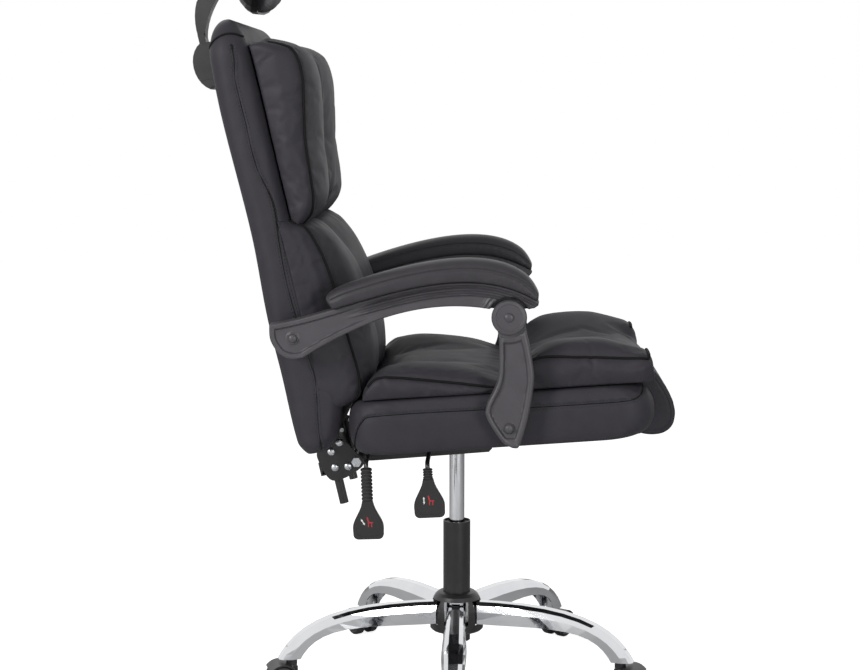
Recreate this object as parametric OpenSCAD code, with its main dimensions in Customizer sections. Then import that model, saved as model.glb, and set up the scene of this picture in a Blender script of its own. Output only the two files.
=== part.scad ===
// High-back reclining office chair: gas lift, five-leg pressed base, linked armrests and a headrest.
// Millimetres. +X is the front of the chair, +Z is up, the origin is on the floor under the column.

/* [Castors] */
// Diameter of a castor wheel
wheel_d = 50; // [46:1:54]
// Width of one wheel
wheel_w = 17; // [14:1:22]
// Clear gap between the two wheels of a castor
wheel_gap = 15; // [14:0.5:20]
// Distance from the swivel axis to the axle
trail = 20; // [18:1:24]
// Diameter of the castor stem
stem_d = 11; // [8:0.5:12]
// Diameter of the castor axle
axle_d = 6; // [5:0.5:8]
// Thickness of the castor hood
hood_wall = 2.6; // [2:0.1:4]

/* [Base] */
// Radius from the column to each castor stem
base_r = 312; // [280:2:350]
// Height of a leg's top edge at the hub
leg_root_z = 146; // [140:1:156]
// Depth of a leg at the hub
leg_root_h = 40; // [32:1:44]
// Width of a leg at its middle
leg_w = 44; // [38:1:52]
// Sheet thickness of a leg
leg_wall = 2.5; // [1.5:0.1:4]
// Outer diameter of the hub ring
hub_d = 66; // [60:1:76]
// Outer diameter of the hub cover
cover_d = 98; // [90:1:120]

/* [Gas lift] */
// Outer diameter of the column
col_d = 50; // [44:1:54]
// Wall of the column
col_wall = 2; // [1.5:0.1:3]
// Height of the column's open top
col_top = 295; // [285:1:310]
// Outer diameter of the pressure tube
tube_d = 28; // [26:0.5:32]
// Wall of the pressure tube
tube_wall = 2; // [1.5:0.1:3]
// Diameter of the piston rod
rod_d = 10; // [8:0.5:12]
// How far the seat comes down from the height shown
lift_down = 100; // [60:5:105]
// How far the seat still goes up
lift_up = 10; // [0:1:15]

/* [Seat] */
// Height of the seat's underside over the column
seat_z = 472; // [460:1:500]
// Tilt of the seat, front up
seat_tilt = 4.2; // [0:0.1:6]
// Width of the seat
seat_w = 520; // [480:5:560]
// Reach of the seat in front of the column
seat_front = 345; // [335:1:360]
// Reach of the seat behind the column
seat_rear = 178; // [172:1:182]
// Height of the upholstered seat box
seat_h = 92; // [84:1:100]
// Thickness of the plywood seat board
board_t = 12; // [9:1:16]

/* [Back] */
// Lean of the backrest from upright
back_lean = 13; // [8:0.5:16]
// Width of the backrest
back_w = 500; // [460:5:520]
// Length of the backrest along its lean, up to the crest
back_top = 784; // [740:2:800]
// Depth of the backrest behind its frame tubes
back_rear_t = 36; // [30:1:42]
// Diameter of the back frame's upright tubes
upright_d = 16; // [14:1:20]
// Distance from the middle to each upright tube
upright_y = 107; // [90:1:107]
// Half width of the pillows at their piping
pillow_hw = 222; // [190:1:228]

/* [Recline hinge] */
// Hinge axis behind the column, along the seat
hinge_u = -178; // [-182:1:-174]
// Hinge axis below the seat's underside
hinge_w = -33; // [-36:1:-30]
// Diameter of the hinge axle
axle_bar_d = 14; // [12:0.5:16]
// Thickness of the bracket's cheeks
cheek_t = 4; // [3:0.5:6]

/* [Armrests] */
// Gap between the seat's side and the armrest
arm_gap = 4; // [3:0.5:8]
// Thickness of an arm frame
arm_t = 36; // [30:1:42]
// Thickness of an arm post
post_t = 28; // [24:1:32]
// Width of an arm pad
pad_w = 66; // [56:1:76]
// Diameter of the elbow cap
cap_d = 59; // [54:1:64]
// Diameter of the armrest bolts
arm_bolt_d = 8; // [6:0.5:10]
// Clearance of the elbow pin all round, where the linkage is open
elbow_play = 3.4; // [3:0.1:4]

/* [Levers] */
// Diameter of the lever rods
lever_d = 8; // [6:0.5:9]
// Diameter of the ribbed sleeves
sleeve_d = 20; // [16:0.5:24]
// Reach of the levers from the middle
lever_y = 200; // [190:1:215]

/* [Headrest] */
// Width of the headrest
head_w = 280; // [240:5:320]
// Height of the headrest
head_h = 150; // [130:2:170]
// Diameter of the headrest pin
pin_d = 8; // [6:0.5:10]

/* [Hidden] */
$fn = 64;

// Running clearance on a radius, seat clearance of a fixed piece, and clearance of a soft piece
run = 0.05;
snug = 0.02;
ease = 0.3;

steel = "#d9dadd";
black = "#2b2a2d";
satin = "#3c3b3f";
leather = "#414046";
dark_leather = "#3a383d";
ply = "#b99a6b";

// Helpers

function mix(a, b, t) = a + (b - a) * t;
function hold(x, low, high) = min(max(x, low), high);
function bez(p, t) = (1 - t) ^ 3 * p[0] + 3 * (1 - t) ^ 2 * t * p[1] + 3 * (1 - t) * t ^ 2 * p[2] + t ^ 3 * p[3];
function bez_line(p, n, t0 = 0, t1 = 1) = [for (i = [0 : n]) bez(p, mix(t0, t1, i / n))];
function reversed(v) = [for (i = [len(v) - 1 : -1 : 0]) v[i]];
function mean(v, i = 0) = i == len(v) ? 0 * v[0] : v[i] / len(v) + mean(v, i + 1);

// Smooth value at x of a table of [place, value] knots
function span(tab, x, i = 0) = i >= len(tab) - 2 || x < tab[i + 1][0] ? i : span(tab, x, i + 1);
function slope(tab, i) = let (a = max(i - 1, 0), b = min(i + 1, len(tab) - 1))
    (tab[b][1] - tab[a][1]) / (tab[b][0] - tab[a][0]);
function curve(tab, x) = let (
    i = span(tab, x),
    h = tab[i + 1][0] - tab[i][0],
    t = hold((x - tab[i][0]) / h, 0, 1))
    (2 * t ^ 3 - 3 * t ^ 2 + 1) * tab[i][1] + (t ^ 3 - 2 * t ^ 2 + t) * slope(tab, i) * h
    + (3 * t ^ 2 - 2 * t ^ 3) * tab[i + 1][1] + (t ^ 3 - t ^ 2) * slope(tab, i + 1) * h;

// Smooth line through points, n steps in each span
function knot(p, i) = p[hold(i, 0, len(p) - 1)];
function through(p, n) = concat([for (i = [0 : len(p) - 2], k = [0 : n - 1]) let (
    t = k / n, a = knot(p, i - 1), b = p[i], c = p[i + 1], d = knot(p, i + 2))
    0.5 * (2 * b + (c - a) * t + (2 * a - 5 * b + 4 * c - d) * t ^ 2 + (3 * b - a - 3 * c + d) * t ^ 3)],
    [p[len(p) - 1]]);

// Smooth closed line through points, n steps in each span
function around(p, n) = [for (i = [0 : len(p) - 1], k = [0 : n - 1]) let (
    m = len(p), t = k / n, a = p[(i + m - 1) % m], b = p[i], c = p[(i + 1) % m], d = p[(i + 2) % m])
    0.5 * (2 * b + (c - a) * t + (2 * a - 5 * b + 4 * c - d) * t ^ 2 + (3 * b - a - 3 * c + d) * t ^ 3)];

// Outline with every edge moved in by d, for outlines that run clockwise
function right_of(v) = [v[1], -v[0]] / norm(v);
function inset(p, d) = [for (i = [0 : len(p) - 1]) let (
    m = len(p), a = right_of(p[i] - p[(i + m - 1) % m]), b = right_of(p[(i + 1) % m] - p[i]))
    p[i] + d * (a + b) / max(1 + a * b, 0.4)];

// How far a rounded edge of radius r draws in at level x of a height h
function edge(x, h, r, e = 2.3) = r * (1 - (1 - min(abs(2 * x / h - 1), 1) ^ e) ^ (1 / e));

function rounded(hx, hy, r, n) = [for (q = [0 : 3], i = [0 : n]) let (a = 90 * q + 90 * i / n)
    [[1, -1, -1, 1][q] * (hx - r) + r * cos(a), [1, 1, -1, -1][q] * (hy - r) + r * sin(a)]];

function six_volumes(p, f, i = 0, s = 0) =
    i == len(f) ? s : six_volumes(p, f, i + 1, s + p[f[i][0]] * cross(p[f[i][1]], p[f[i][2]]));

// Closed solid through rings of equally many points. A channel's rings run over it and back,
// so its ends close from each point to the one that faces it, and other ends from their middle,
// which sink moves down by a share of its height, for a ring that is dished on top.
module loft(rings, channel = false, sink = 0) {
    n = len(rings[0]);
    m = len(rings);
    last = (m - 1) * n;
    middles = channel ? [] : [for (r = [rings[0], rings[m - 1]]) let (c = mean(r))
        c - [0, 0, sink * (c[2] - min([for (p = r) p[2]]))]];
    points = concat([for (r = rings) each r], middles);
    sides = [for (i = [0 : m - 2], j = [0 : n - 1]) let (k = (j + 1) % n)
        each [[i * n + j, i * n + k, (i + 1) * n + k], [i * n + j, (i + 1) * n + k, (i + 1) * n + j]]];
    strip = [for (j = [0 : n / 2 - 2]) each [[j + 1, j, n - 1 - j], [j + 1, n - 1 - j, n - 2 - j]]];
    ends = channel
        ? concat(strip, [for (f = strip) [last + f[2], last + f[1], last + f[0]]])
        : concat([for (j = [0 : n - 1]) [m * n, (j + 1) % n, j]],
                 [for (j = [0 : n - 1]) [m * n + 1, last + j, last + (j + 1) % n]]);
    faces = concat(sides, ends);
    outwards = six_volumes(points, faces) > 0;
    polyhedron(points, outwards ? [for (f = faces) [f[2], f[1], f[0]]] : faces);
}

// A cylinder along Y that is centred there
module bar_y(d, length) {
    rotate([90, 0, 0]) cylinder(d = d, h = length, center = true);
}

// An outline in X and Z that is given a thickness from y0 to y1
module slab(outline, y0, y1) {
    translate([0, y1, 0]) rotate([90, 0, 0]) linear_extrude(y1 - y0) polygon(outline);
}

module both_sides() {
    children();
    mirror([0, 1, 0]) children();
}

// Places

function turn(v, a) = [v[0] * cos(a) - v[1] * sin(a), v[0] * sin(a) + v[1] * cos(a)];
// A point [along, above] of the seat, and a point [forward, up] of the back, in the chair's X and Z
function seat_point(v) = [0, seat_z] + turn(v, seat_tilt);
hinge = seat_point([hinge_u, hinge_w]);
// The uprights' line passes this far behind the hinge and above it
back_root = hinge + [-42, 4];
function back_point(v) = back_root + turn(v, back_lean);

module at_seat() {
    translate([0, 0, seat_z]) rotate([0, -seat_tilt, 0]) children();
}

module at_back() {
    translate([back_root[0], 0, back_root[1]]) rotate([0, -back_lean, 0]) children();
}

// Castors

legs = 5;
wheel_r = wheel_d / 2;
hood_in_r = wheel_r + 1.2;
hood_out_r = hood_in_r + hood_wall;
web_w = wheel_gap - 1;
stem_low = wheel_r + 9;
boss_d = 20;
boss_low = wheel_r + 22.5;
boss_top = wheel_r + 32;
collar_h = 2;
socket_z = boss_top + 0.2 + collar_h;
socket_h = 25;
socket_d = stem_d + 9;
stem_top = socket_z + socket_h - 3;
wheel_bore = wheel_w - 4;
wheel_face = wheel_gap / 2;

function leg_angle(i) = -90 + i * 360 / legs;

module at_castor(i) {
    rotate([0, 0, leg_angle(i)]) translate([base_r, 0, 0]) children();
}

module castor_stems() {
    color(steel) for (i = [0 : legs - 1]) at_castor(i) {
        translate([0, 0, stem_low]) cylinder(d = stem_d, h = stem_top - stem_low);
        translate([0, 0, socket_z - collar_h]) cylinder(d = stem_d + 5, h = collar_h);
    }
}

module hood_profile() {
    difference() {
        circle(r = hood_out_r);
        circle(r = hood_in_r);
        translate([-2 * hood_out_r, -3 * hood_out_r]) square([4 * hood_out_r, 3 * hood_out_r - 4]);
        translate([hood_out_r * 0.55, -hood_out_r]) square([hood_out_r, 1.6 * hood_out_r]);
    }
}

module web_profile() {
    circle(r = wheel_r * 0.66);
    translate([-trail - boss_d / 2, stem_low - wheel_r - 3])
        square([boss_d / 2 + trail, hood_in_r * 0.55]);
    difference() {
        circle(r = hood_in_r + hood_wall / 2);
        translate([-2 * wheel_r, -2 * wheel_r]) square([4 * wheel_r, 2 * wheel_r]);
        translate([0, -1]) square([2 * wheel_r, 2 * wheel_r]);
    }
}

module castor_hood(i) {
    hood_w = wheel_gap + 2 * wheel_w;
    color(black) at_castor(i) difference() {
        union() {
            translate([trail, 0, wheel_r]) rotate([90, 0, 0]) {
                linear_extrude(hood_w, center = true) hood_profile();
                linear_extrude(web_w, center = true) web_profile();
            }
            translate([0, 0, boss_low]) cylinder(d = boss_d, h = boss_top - boss_low);
        }
        translate([0, 0, stem_low - 0.3]) cylinder(d = stem_d + 2 * run, h = boss_top);
        translate([trail, 0, wheel_r]) bar_y(axle_d + 2 * snug, wheel_gap * 2);
    }
}

module castor_axle(i) {
    color(steel) at_castor(i) translate([trail, 0, wheel_r])
        bar_y(axle_d, wheel_gap + 2 * (wheel_bore - 0.3));
}

// Section of a wheel from its inner face at 0: tread with round shoulders, dished face, raised hub
function wheel_section() = concat(
    [[0, 0], [wheel_r - 2, 0]],
    [for (a = [-60 : 30 : 0]) [wheel_r - 2 + 2 * cos(a), 2 + 2 * sin(a)]],
    [for (a = [0 : 15 : 90]) [wheel_r - 5 + 5 * cos(a), wheel_w - 5 + 5 * sin(a)]],
    [[wheel_r - 7, wheel_w - 1.6], [wheel_r * 0.42, wheel_w - 2.4], [wheel_r * 0.36, wheel_w - 0.4],
     [0, wheel_w]]);

module castor_wheel(i, side) {
    color(black) at_castor(i) translate([trail, side * wheel_face, wheel_r])
        rotate([-90 * side, 0, 0]) difference() {
            rotate_extrude() polygon(wheel_section());
            translate([0, 0, -1]) cylinder(d = axle_d + 2 * run, h = wheel_bore + 1);
        }
}

// Base

col_bore_r = col_d / 2 + snug;
leg_end_z = socket_z + 1.2;
leg_top = [[col_bore_r + 1, leg_root_z], [base_r - 122, leg_root_z + 9], [base_r - 20, leg_root_z - 6],
           [base_r + 25, leg_end_z]];
leg_low = [[col_bore_r + 1, leg_root_z - leg_root_h], [base_r - 142, leg_root_z - leg_root_h + 2],
           [base_r - 50, leg_root_z - leg_root_h + 26], [base_r - 13, leg_end_z]];
leg_widths = [[0, leg_w - 9], [0.3, leg_w - 4], [0.6, leg_w], [0.85, leg_w - 5], [1, leg_w - 10]];
leg_steps = 11;
leg_sides = 7;

// One ring of the pressed channel: over the outside of the arch and back along the inside
function arch(low, high, w) = [for (i = [0 : leg_sides]) let (a = 180 * i / leg_sides)
    let (f = max(sin(a), 0) ^ 0.72, s = sign(cos(a)) * abs(cos(a)) ^ 0.6, c = low + (high - low) * f)
    [c[0], s * w / 2, c[1]]];
function leg_ring(t) = let (low = bez(leg_low, t), high = bez(leg_top, t), w = curve(leg_widths, t),
    up = (high - low) / norm(high - low))
    concat(arch(low, high, w), reversed(arch(low, high - leg_wall * up, w - 2 * leg_wall)));

module leg() {
    loft([for (i = [0 : leg_steps]) leg_ring(1 - (1 - i / leg_steps) ^ 1.3)], channel = true);
}

module star_base() {
    hub_low = leg_root_z - leg_root_h - 4;
    color(steel) difference() {
        union() {
            translate([0, 0, hub_low]) cylinder(d = hub_d, h = leg_root_z + 2 - hub_low);
            for (i = [0 : legs - 1]) {
                rotate([0, 0, leg_angle(i)]) leg();
                at_castor(i) translate([0, 0, socket_z]) cylinder(d = socket_d, h = socket_h);
            }
        }
        translate([0, 0, hub_low - 1]) cylinder(r = col_bore_r, h = leg_root_h + 20);
        for (i = [0 : legs - 1])
            at_castor(i) translate([0, 0, socket_z - 5])
                cylinder(r = stem_d / 2 + snug, h = stem_top - socket_z + 5.2);
    }
}

cover_low = leg_root_z - leg_root_h - 16;
cover_h = leg_root_h + 32;
cover_wall = 2.4;
function cover_side(d) = let (r = cover_d / 2 - d, top = cover_h - d) concat(
    [[r - 3, 0], [r, 3], [r, cover_h * 0.42]],
    [for (a = [15 : 15 : 75]) [mix(col_d / 2 + 3, r, cos(a) ^ 0.9),
        mix(cover_h * 0.42, top, sin(a) ^ 1.1)]],
    [[col_d / 2 + 3, top]]);

module hub_cover() {
    bore = col_d / 2 + ease;
    color(black) translate([0, 0, cover_low]) difference() {
        rotate_extrude() polygon(concat(cover_side(0), [[bore, cover_h], [bore, cover_h - cover_wall]],
            reversed(cover_side(cover_wall))));
        for (i = [0 : legs - 1]) rotate([0, 0, leg_angle(i)])
            translate([hub_d / 2 + 2, -leg_w / 2, leg_root_z - leg_root_h - 1.5 - cover_low])
                cube([cover_d, leg_w, leg_root_h + 4.5]);
        translate([0, 0, cover_h * 0.3]) difference() {
            cylinder(d = cover_d + 4, h = 1);
            translate([0, 0, -1]) cylinder(d = cover_d - 1.6, h = 3);
        }
    }
}

// Gas lift

col_low = 70;
plate_t = 4;
flange_t = 8;
tube_low = col_low + plate_t + flange_t + lift_down + 3;
gland_t = 8;
piston_h = 12;
piston_z = tube_low + gland_t + lift_up + 0.5;
tube_high = seat_z - 9;
taper_h = 36;
taper_r = tube_d / 2 - 0.9;

module column_tube() {
    color(black) difference() {
        translate([0, 0, col_low]) cylinder(d = col_d, h = col_top - col_low);
        translate([0, 0, col_low + plate_t]) cylinder(d = col_d - 2 * col_wall, h = col_top);
        translate([0, 0, col_low - 1]) cylinder(r = rod_d / 2 + run, h = plate_t + 2);
    }
}

module column_bush() {
    bush_low = col_top - 82;
    color(satin) difference() {
        translate([0, 0, bush_low])
            cylinder(r = col_d / 2 - col_wall - snug, h = col_top - 3 - bush_low);
        translate([0, 0, bush_low - 1]) cylinder(r = tube_d / 2 + run, h = 100);
        translate([0, 0, col_top - 8]) cylinder(r1 = tube_d / 2, r2 = tube_d / 2 + 5, h = 6);
    }
}

module piston_rod() {
    inner = tube_d / 2 - tube_wall;
    color(steel) {
        translate([0, 0, col_low - 6]) cylinder(d = rod_d, h = piston_z + piston_h - col_low + 6);
        translate([0, 0, col_low + plate_t + 0.05]) cylinder(d = col_d - 2 * col_wall - 8, h = flange_t);
        translate([0, 0, col_low - 2.6]) cylinder(d = rod_d + 8, h = 2.5);
        translate([0, 0, piston_z]) cylinder(r = inner - run, h = piston_h);
    }
}

module pressure_tube() {
    straight = tube_high - taper_h - tube_low;
    color(steel) difference() {
        union() {
            translate([0, 0, tube_low]) cylinder(d = tube_d, h = straight);
            translate([0, 0, tube_low + straight]) cylinder(r1 = tube_d / 2, r2 = taper_r, h = taper_h);
            translate([0, 0, tube_high]) cylinder(d = 9, h = 4);
        }
        translate([0, 0, tube_low + gland_t])
            cylinder(r = tube_d / 2 - tube_wall, h = straight - gland_t - 2);
        translate([0, 0, tube_low - 1]) cylinder(r = rod_d / 2 + run, h = gland_t + 2);
    }
}

// Seat mechanism

pan_hw = 62;
pan_t = 2.5;
pan_depth = 42;
pan_front = 62;
flange_y = 95;
board_w = 2;
flange_top = board_w;
hinge_eye_d = axle_bar_d + 12;
cheek_in = upright_y + upright_d / 2 + ease;
cheek_out = cheek_in + cheek_t;
mech_bolts = [[-110, 82], [30, 82]];
lift_x = -47;
recline_x = -153;
lever_z = seat_z - 31;

function pan_side(d) = [[pan_front - d, flange_top - 3 - d], [pan_front - d, -pan_depth + 6 + d],
    [pan_front - 6 - d, -pan_depth + d], [hinge_u + 28 + d, -pan_depth - 2 + d],
    [hinge_u - 4 + d, hinge_w - 10 + d], [hinge_u - 8 + d, hinge_w + 6],
        [hinge_u + 14 + d, flange_top - 3 - d]];

module seat_mechanism() {
    color(black) difference() {
        union() {
            at_seat() difference() {
                slab(pan_side(0), -pan_hw, pan_hw);
                slab(pan_side(pan_t), -pan_hw + pan_t, pan_hw - pan_t);
            }
            at_seat() translate([-board_rear, -flange_y, flange_top - 3])
                cube([board_rear + pan_front + 6, 2 * flange_y, 3]);
            translate([0, 0, tube_high - taper_h]) cylinder(d = tube_d + 12, h = taper_h);
            translate([hinge[0], 0, hinge[1]]) bar_y(hinge_eye_d, 2 * (cheek_in - ease));
        }
        translate([0, 0, tube_high - taper_h - 0.01])
            cylinder(r1 = tube_d / 2 + snug, r2 = taper_r + snug, h = taper_h + 0.02);
        translate([0, 0, tube_high - 1]) cylinder(d = 12, h = 20);
        translate([0, 0, tube_high - 2 * taper_h]) cylinder(d = tube_d + 2, h = taper_h);
        translate([hinge[0], 0, hinge[1]]) bar_y(axle_bar_d + 2 * snug, 4 * cheek_out);
        at_seat() for (b = mech_bolts, s = [-1, 1])
            translate([b[0], s * b[1], flange_top - 4]) cylinder(d = 8 + 2 * snug, h = 6);
        for (x = [lift_x, recline_x]) translate([x, -pan_hw, lever_z])
            bar_y(lever_d + 1.6, 4 * pan_t);
    }
}

module mechanism_bolts() {
    color(steel) at_seat() for (b = mech_bolts, s = [-1, 1]) translate([b[0], s * b[1], 0]) {
        translate([0, 0, flange_top - 3 - 5.5]) cylinder(d = 15, h = 5.5, $fn = 6);
        translate([0, 0, flange_top - 4]) cylinder(d = 8, h = board_t + 4);
    }
}

module recline_axle() {
    color(steel) translate([hinge[0], 0, hinge[1]]) {
        bar_y(axle_bar_d, 2 * (cheek_out + 1));
        both_sides() translate([0, cheek_out + 0.3, 0])
            rotate([-90, 0, 0]) cylinder(d = axle_bar_d + 4, h = 7, $fn = 6);
    }
}

// Seat

rail_h = 60;
rail_t = 18;
board_front = seat_front - 45;
board_rear = seat_rear - 30;
rail_y = seat_w / 2 - 30;
post_foot_u = 96;
post_foot_w = 38;
post_foot = seat_point([post_foot_u, post_foot_w]);

board_r = 40;
// The board's plan has round corners, which keep it inside the box; c is the clearance round it
module board_plate(c, low, high) {
    translate([(board_front - board_rear) / 2, 0, low]) linear_extrude(high - low)
        polygon(rounded((board_front + board_rear) / 2 + c, rail_y + rail_t + c, board_r, 6));
}
module board_shape(c) {
    board_plate(c, board_w - c, board_w + board_t + c);
    both_sides() translate([-board_rear + board_r - c, rail_y - c, board_w + board_t / 2])
        cube([board_front + board_rear - 2 * board_r + 2 * c, rail_t + 2 * c, rail_h - board_t / 2 + c]);
}

module seat_board() {
    color(ply) at_seat() difference() {
        board_shape(0);
        for (b = mech_bolts, s = [-1, 1])
            translate([b[0], s * b[1], board_w - 1]) cylinder(d = 8 + 2 * snug, h = board_t + 2);
        translate([0, 0, board_w - 1]) cylinder(d = 30, h = board_t + 2);
        both_sides() translate([post_foot_u, rail_y + rail_t / 2, post_foot_w])
            bar_y(arm_bolt_d + 2 * snug, rail_t * 2);
    }
}

front_r = 48;
rear_r = 22;
side_r = 12;
plan_r = 52;
box_levels = [0, 5, 14, 28, 46, 62, 76, 86, 92];
function box_level(i) = box_levels[i] * seat_h / 92;
function box_front(x) = seat_front - edge(x, seat_h, front_r);
function box_rear(x) = -seat_rear + edge(x, seat_h, rear_r);
function box_half(x) = seat_w / 2 - edge(x, seat_h, side_r);

function box_ring(x) = let (a = box_front(x), b = box_rear(x))
    [for (p = rounded((a - b) / 2, box_half(x), plan_r, 6)) [(a + b) / 2 + p[0], p[1], x]];

module seat_box() {
    color(leather) at_seat() difference() {
        loft([for (i = [0 : len(box_levels) - 1]) box_ring(box_level(i))]);
        board_shape(ease);
        board_plate(ease, -5, board_w);
        both_sides() translate([post_foot_u, seat_w / 2, post_foot_w]) bar_y(arm_bolt_d + 2, 60);
        for (b = mech_bolts, s = [-1, 1])
            translate([b[0], s * b[1], board_w]) cylinder(d = 10, h = board_t + 4);
    }
}

// Seat pad: heights of the middle, of the side crests and of the piping over the seat box
pad_mid = [[-150, 24], [-100, 30], [0, 29], [60, 23], [100, 19], [140, 31], [200, 40], [260, 42],
    [300, 42]];
pad_crest = [[-150, 42], [-112, 49], [-57, 51], [35, 35], [80, 19], [104, 9], [125, 42], [157, 67],
             [191, 76], [260, 75], [300, 64]];
pad_pipe = [[-150, 34], [-118, 41], [-21, 28], [74, 12], [104, 4], [122, 35], [147, 55], [223, 53],
            [300, 45]];
pad_rear = 131;
pad_hw = seat_w / 2 - 12;
roll_hw = 170;
pad_base = seat_h + 0.4;

// Places across the pad, as a share of its half width, and the height there
pad_places = [0, 0.2, 0.4, 0.55, 0.67, 0.77, 0.83, 0.91, 0.96, 0.985];
function pad_height(v, mid, crest, pipe) =
    v < 0.3 ? mid
    : v < 0.83 ? mix(mid, crest, 0.5 - 0.5 * cos(180 * (v - 0.3) / 0.53))
    : mix(pipe, crest, sqrt(max(1 - ((v - 0.83) / 0.155) ^ 2, 0)));

// One ring: base point, direction of the height, three heights and the half width
function pad_ring(base, dir, mid, crest, pipe, hw) = let (
    half = [for (v = pad_places) [v * hw, pad_height(v, mid, crest, pipe)]],
    side = [[hw + 1, pipe * 0.55], [hw - 1.5, 0]],
    right = concat(half, side),
    left = [for (i = [len(right) - 1 : -1 : 1]) [-right[i][0], right[i][1]]])
    [for (q = concat(right, [[0, 0]], left)) [base[0] + dir[0] * q[1], q[0], base[1] + dir[1] * q[1]]];

// The rear end swells up from a rounded edge, and the front end falls off in one
bolster_front = 342;
bolster_run = 46;
pad_rows = concat(
    [for (a = [15, 35, 55, 75]) [-pad_rear + 40 * (1 - cos(a)), sin(a) ^ 0.8]],
    [for (u = [-88 : 24 : 296]) [u, 1]],
    [for (a = [20, 40, 57, 70]) [bolster_front - bolster_run * (1 - sin(a)), cos(a) ^ 0.8]]);
pad_top_rings = [for (r = pad_rows) let (u = r[0], f = r[1])
    pad_ring([u * seat_front / 345, pad_base], [0, 1], f * curve(pad_mid, u),
        f * mix(curve(pad_mid, u), curve(pad_crest, u), f),
        f * mix(curve(pad_mid, u), curve(pad_pipe, u), f), pad_hw - 14 * (1 - f))];

// The front roll is stuffed by itself. It takes the pad's place in the middle of its front and
// hangs over the box's round edge. Its outline is given from the box's front top corner.
roll_back = seat_front - 60;
roll_over = [[-59.7, 42], [-40, 43.5], [-23, 37], [0, 22], [18, 2], [33, -20], [43, -43], [46.5, -62],
             [45, -80], [38, -95], [25, -104], [6, -106], [-15, -102], [-33, -95]];
roll_gap = 0.6;
roll_line = concat(
    through([for (p = roll_over) [seat_front + p[0], seat_h + p[1]]], 3),
    [for (i = [0 : len(box_levels) - 1]) let (x = box_level(i)) [box_front(x) + roll_gap, x]],
    [[box_front(seat_h) + roll_gap, pad_base], [roll_back + ease, pad_base]]);

module seat_top_pad() {
    color(leather) at_seat() {
        difference() {
            loft(pad_top_rings, sink = 0.8);
            translate([roll_back, -roll_hw - ease, pad_base - 5])
                cube([seat_front, 2 * (roll_hw + ease), seat_h]);
        }
        slab(roll_line, -roll_hw, roll_hw);
    }
}

// Levers, seen from the side: [place, lean of the neck, length of the neck]
lever_bend = 9;
lever_clear = 0.25;
lever_pin_d = 4;
lever_pin_y = pan_hw - 4.8;

module lever_frame(x, lean) {
    translate([x, 0, lever_z]) rotate([0, lean, 0]) children();
}

module lever_rod(x, lean, neck) {
    color(satin) {
        lever_frame(x, lean) {
            rotate([90, 0, 0]) translate([0, 0, pan_hw - 16])
                cylinder(d = lever_d, h = lever_y - lever_bend - pan_hw + 16);
            translate([0, -lever_pin_y, 0]) rotate([0, 90, 0])
                cylinder(d = lever_pin_d, h = 2 * lever_d, center = true);
            translate([0, -lever_y + lever_bend, -lever_bend]) rotate([0, 90, 0]) rotate([0, 0, 180])
                rotate_extrude(angle = 90) translate([lever_bend, 0]) circle(d = lever_d);
            translate([0, -lever_y, -lever_bend - neck]) cylinder(d = lever_d, h = neck);
        }
    }
}

// Ribbed sleeve on the hanging end of the rod
function ribs(n, pitch, r) = [for (i = [0 : n - 1], k = [0 : 3])
    [r - [1.6, 0, 0, 1.6][k], (i + [0.08, 0.3, 0.7, 0.92][k]) * pitch]];

module lever_sleeve(x, lean, neck, d, n) {
    top = -lever_bend - 1;
    low = -neck + 12;
    bore = lever_d / 2 + snug;
    color(black) lever_frame(x, lean) translate([0, -lever_y, low])
        rotate_extrude() polygon(concat([[bore, 0]], ribs(n, (top - low) / n, d / 2),
            [[bore, top - low]]));
}

// Spade-shaped paddle, hanging under the sleeve
paddle_w = 53;
paddle_h = 68;
paddle_t = 11;
function paddle_outline(d) = let (w = paddle_w / 2 - d, h = paddle_h - d) concat(
    through([[9 - d, -d], [13 - d, -14], [w - 1, -paddle_h * 0.58], [w, -h + 12]], 5),
    [for (a = [10 : 20 : 90]) [w - 9 + 9 * cos(a), -h + 9 - 9 * sin(a)]],
    [for (a = [90 : 20 : 170]) [-w + 9 + 9 * cos(a), -h + 9 - 9 * sin(a)]],
    reversed(through([[-9 + d, -d], [-13 + d, -14], [-w + 1, -paddle_h * 0.58], [-w, -h + 12]], 5)));

module lever_paddle(x, lean, neck) {
    low = -neck + 12;
    color(black) lever_frame(x, lean) translate([0, -lever_y, low - lever_clear]) difference() {
        union() {
            slab(paddle_outline(0), -paddle_t / 2 + 1.5, paddle_t / 2 - 1.5);
            slab(paddle_outline(1.5), -paddle_t / 2, paddle_t / 2);
        }
        translate([0, 0, -lever_bend - 16]) cylinder(r = lever_d / 2 + snug, h = 60);
        slab(inset(paddle_outline(6), 0), -paddle_t / 2 - 1, -paddle_t / 2 + 0.8);
    }
}

lift_lean = -3;
recline_lean = -2;
lift_neck = 40;
recline_neck = 79;

// Back: everything is in the back's own forward and up, from the uprights' line

front_face = [[34, 12], [60, 32], [130, 54], [250, 44], [330, 38], [460, 37], [720, 37], [790, 34]];
rear_face = [[34, -30], [60, -39], [180, -39], [280, -40], [420, -33], [620, -35], [700, -32],
    [760, -26], [790, -20]];
row = 24;
back_rows = concat([for (q = [36 : row : 732]) q], [748, 762, 773, 780, 784]);
function lined(tab, q) = let (a = 36 + row * floor((q - 36) / row))
    mix(curve(tab, a), curve(tab, a + row), (q - a) / row);
function back_q(q) = q * back_top / 784;

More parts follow.
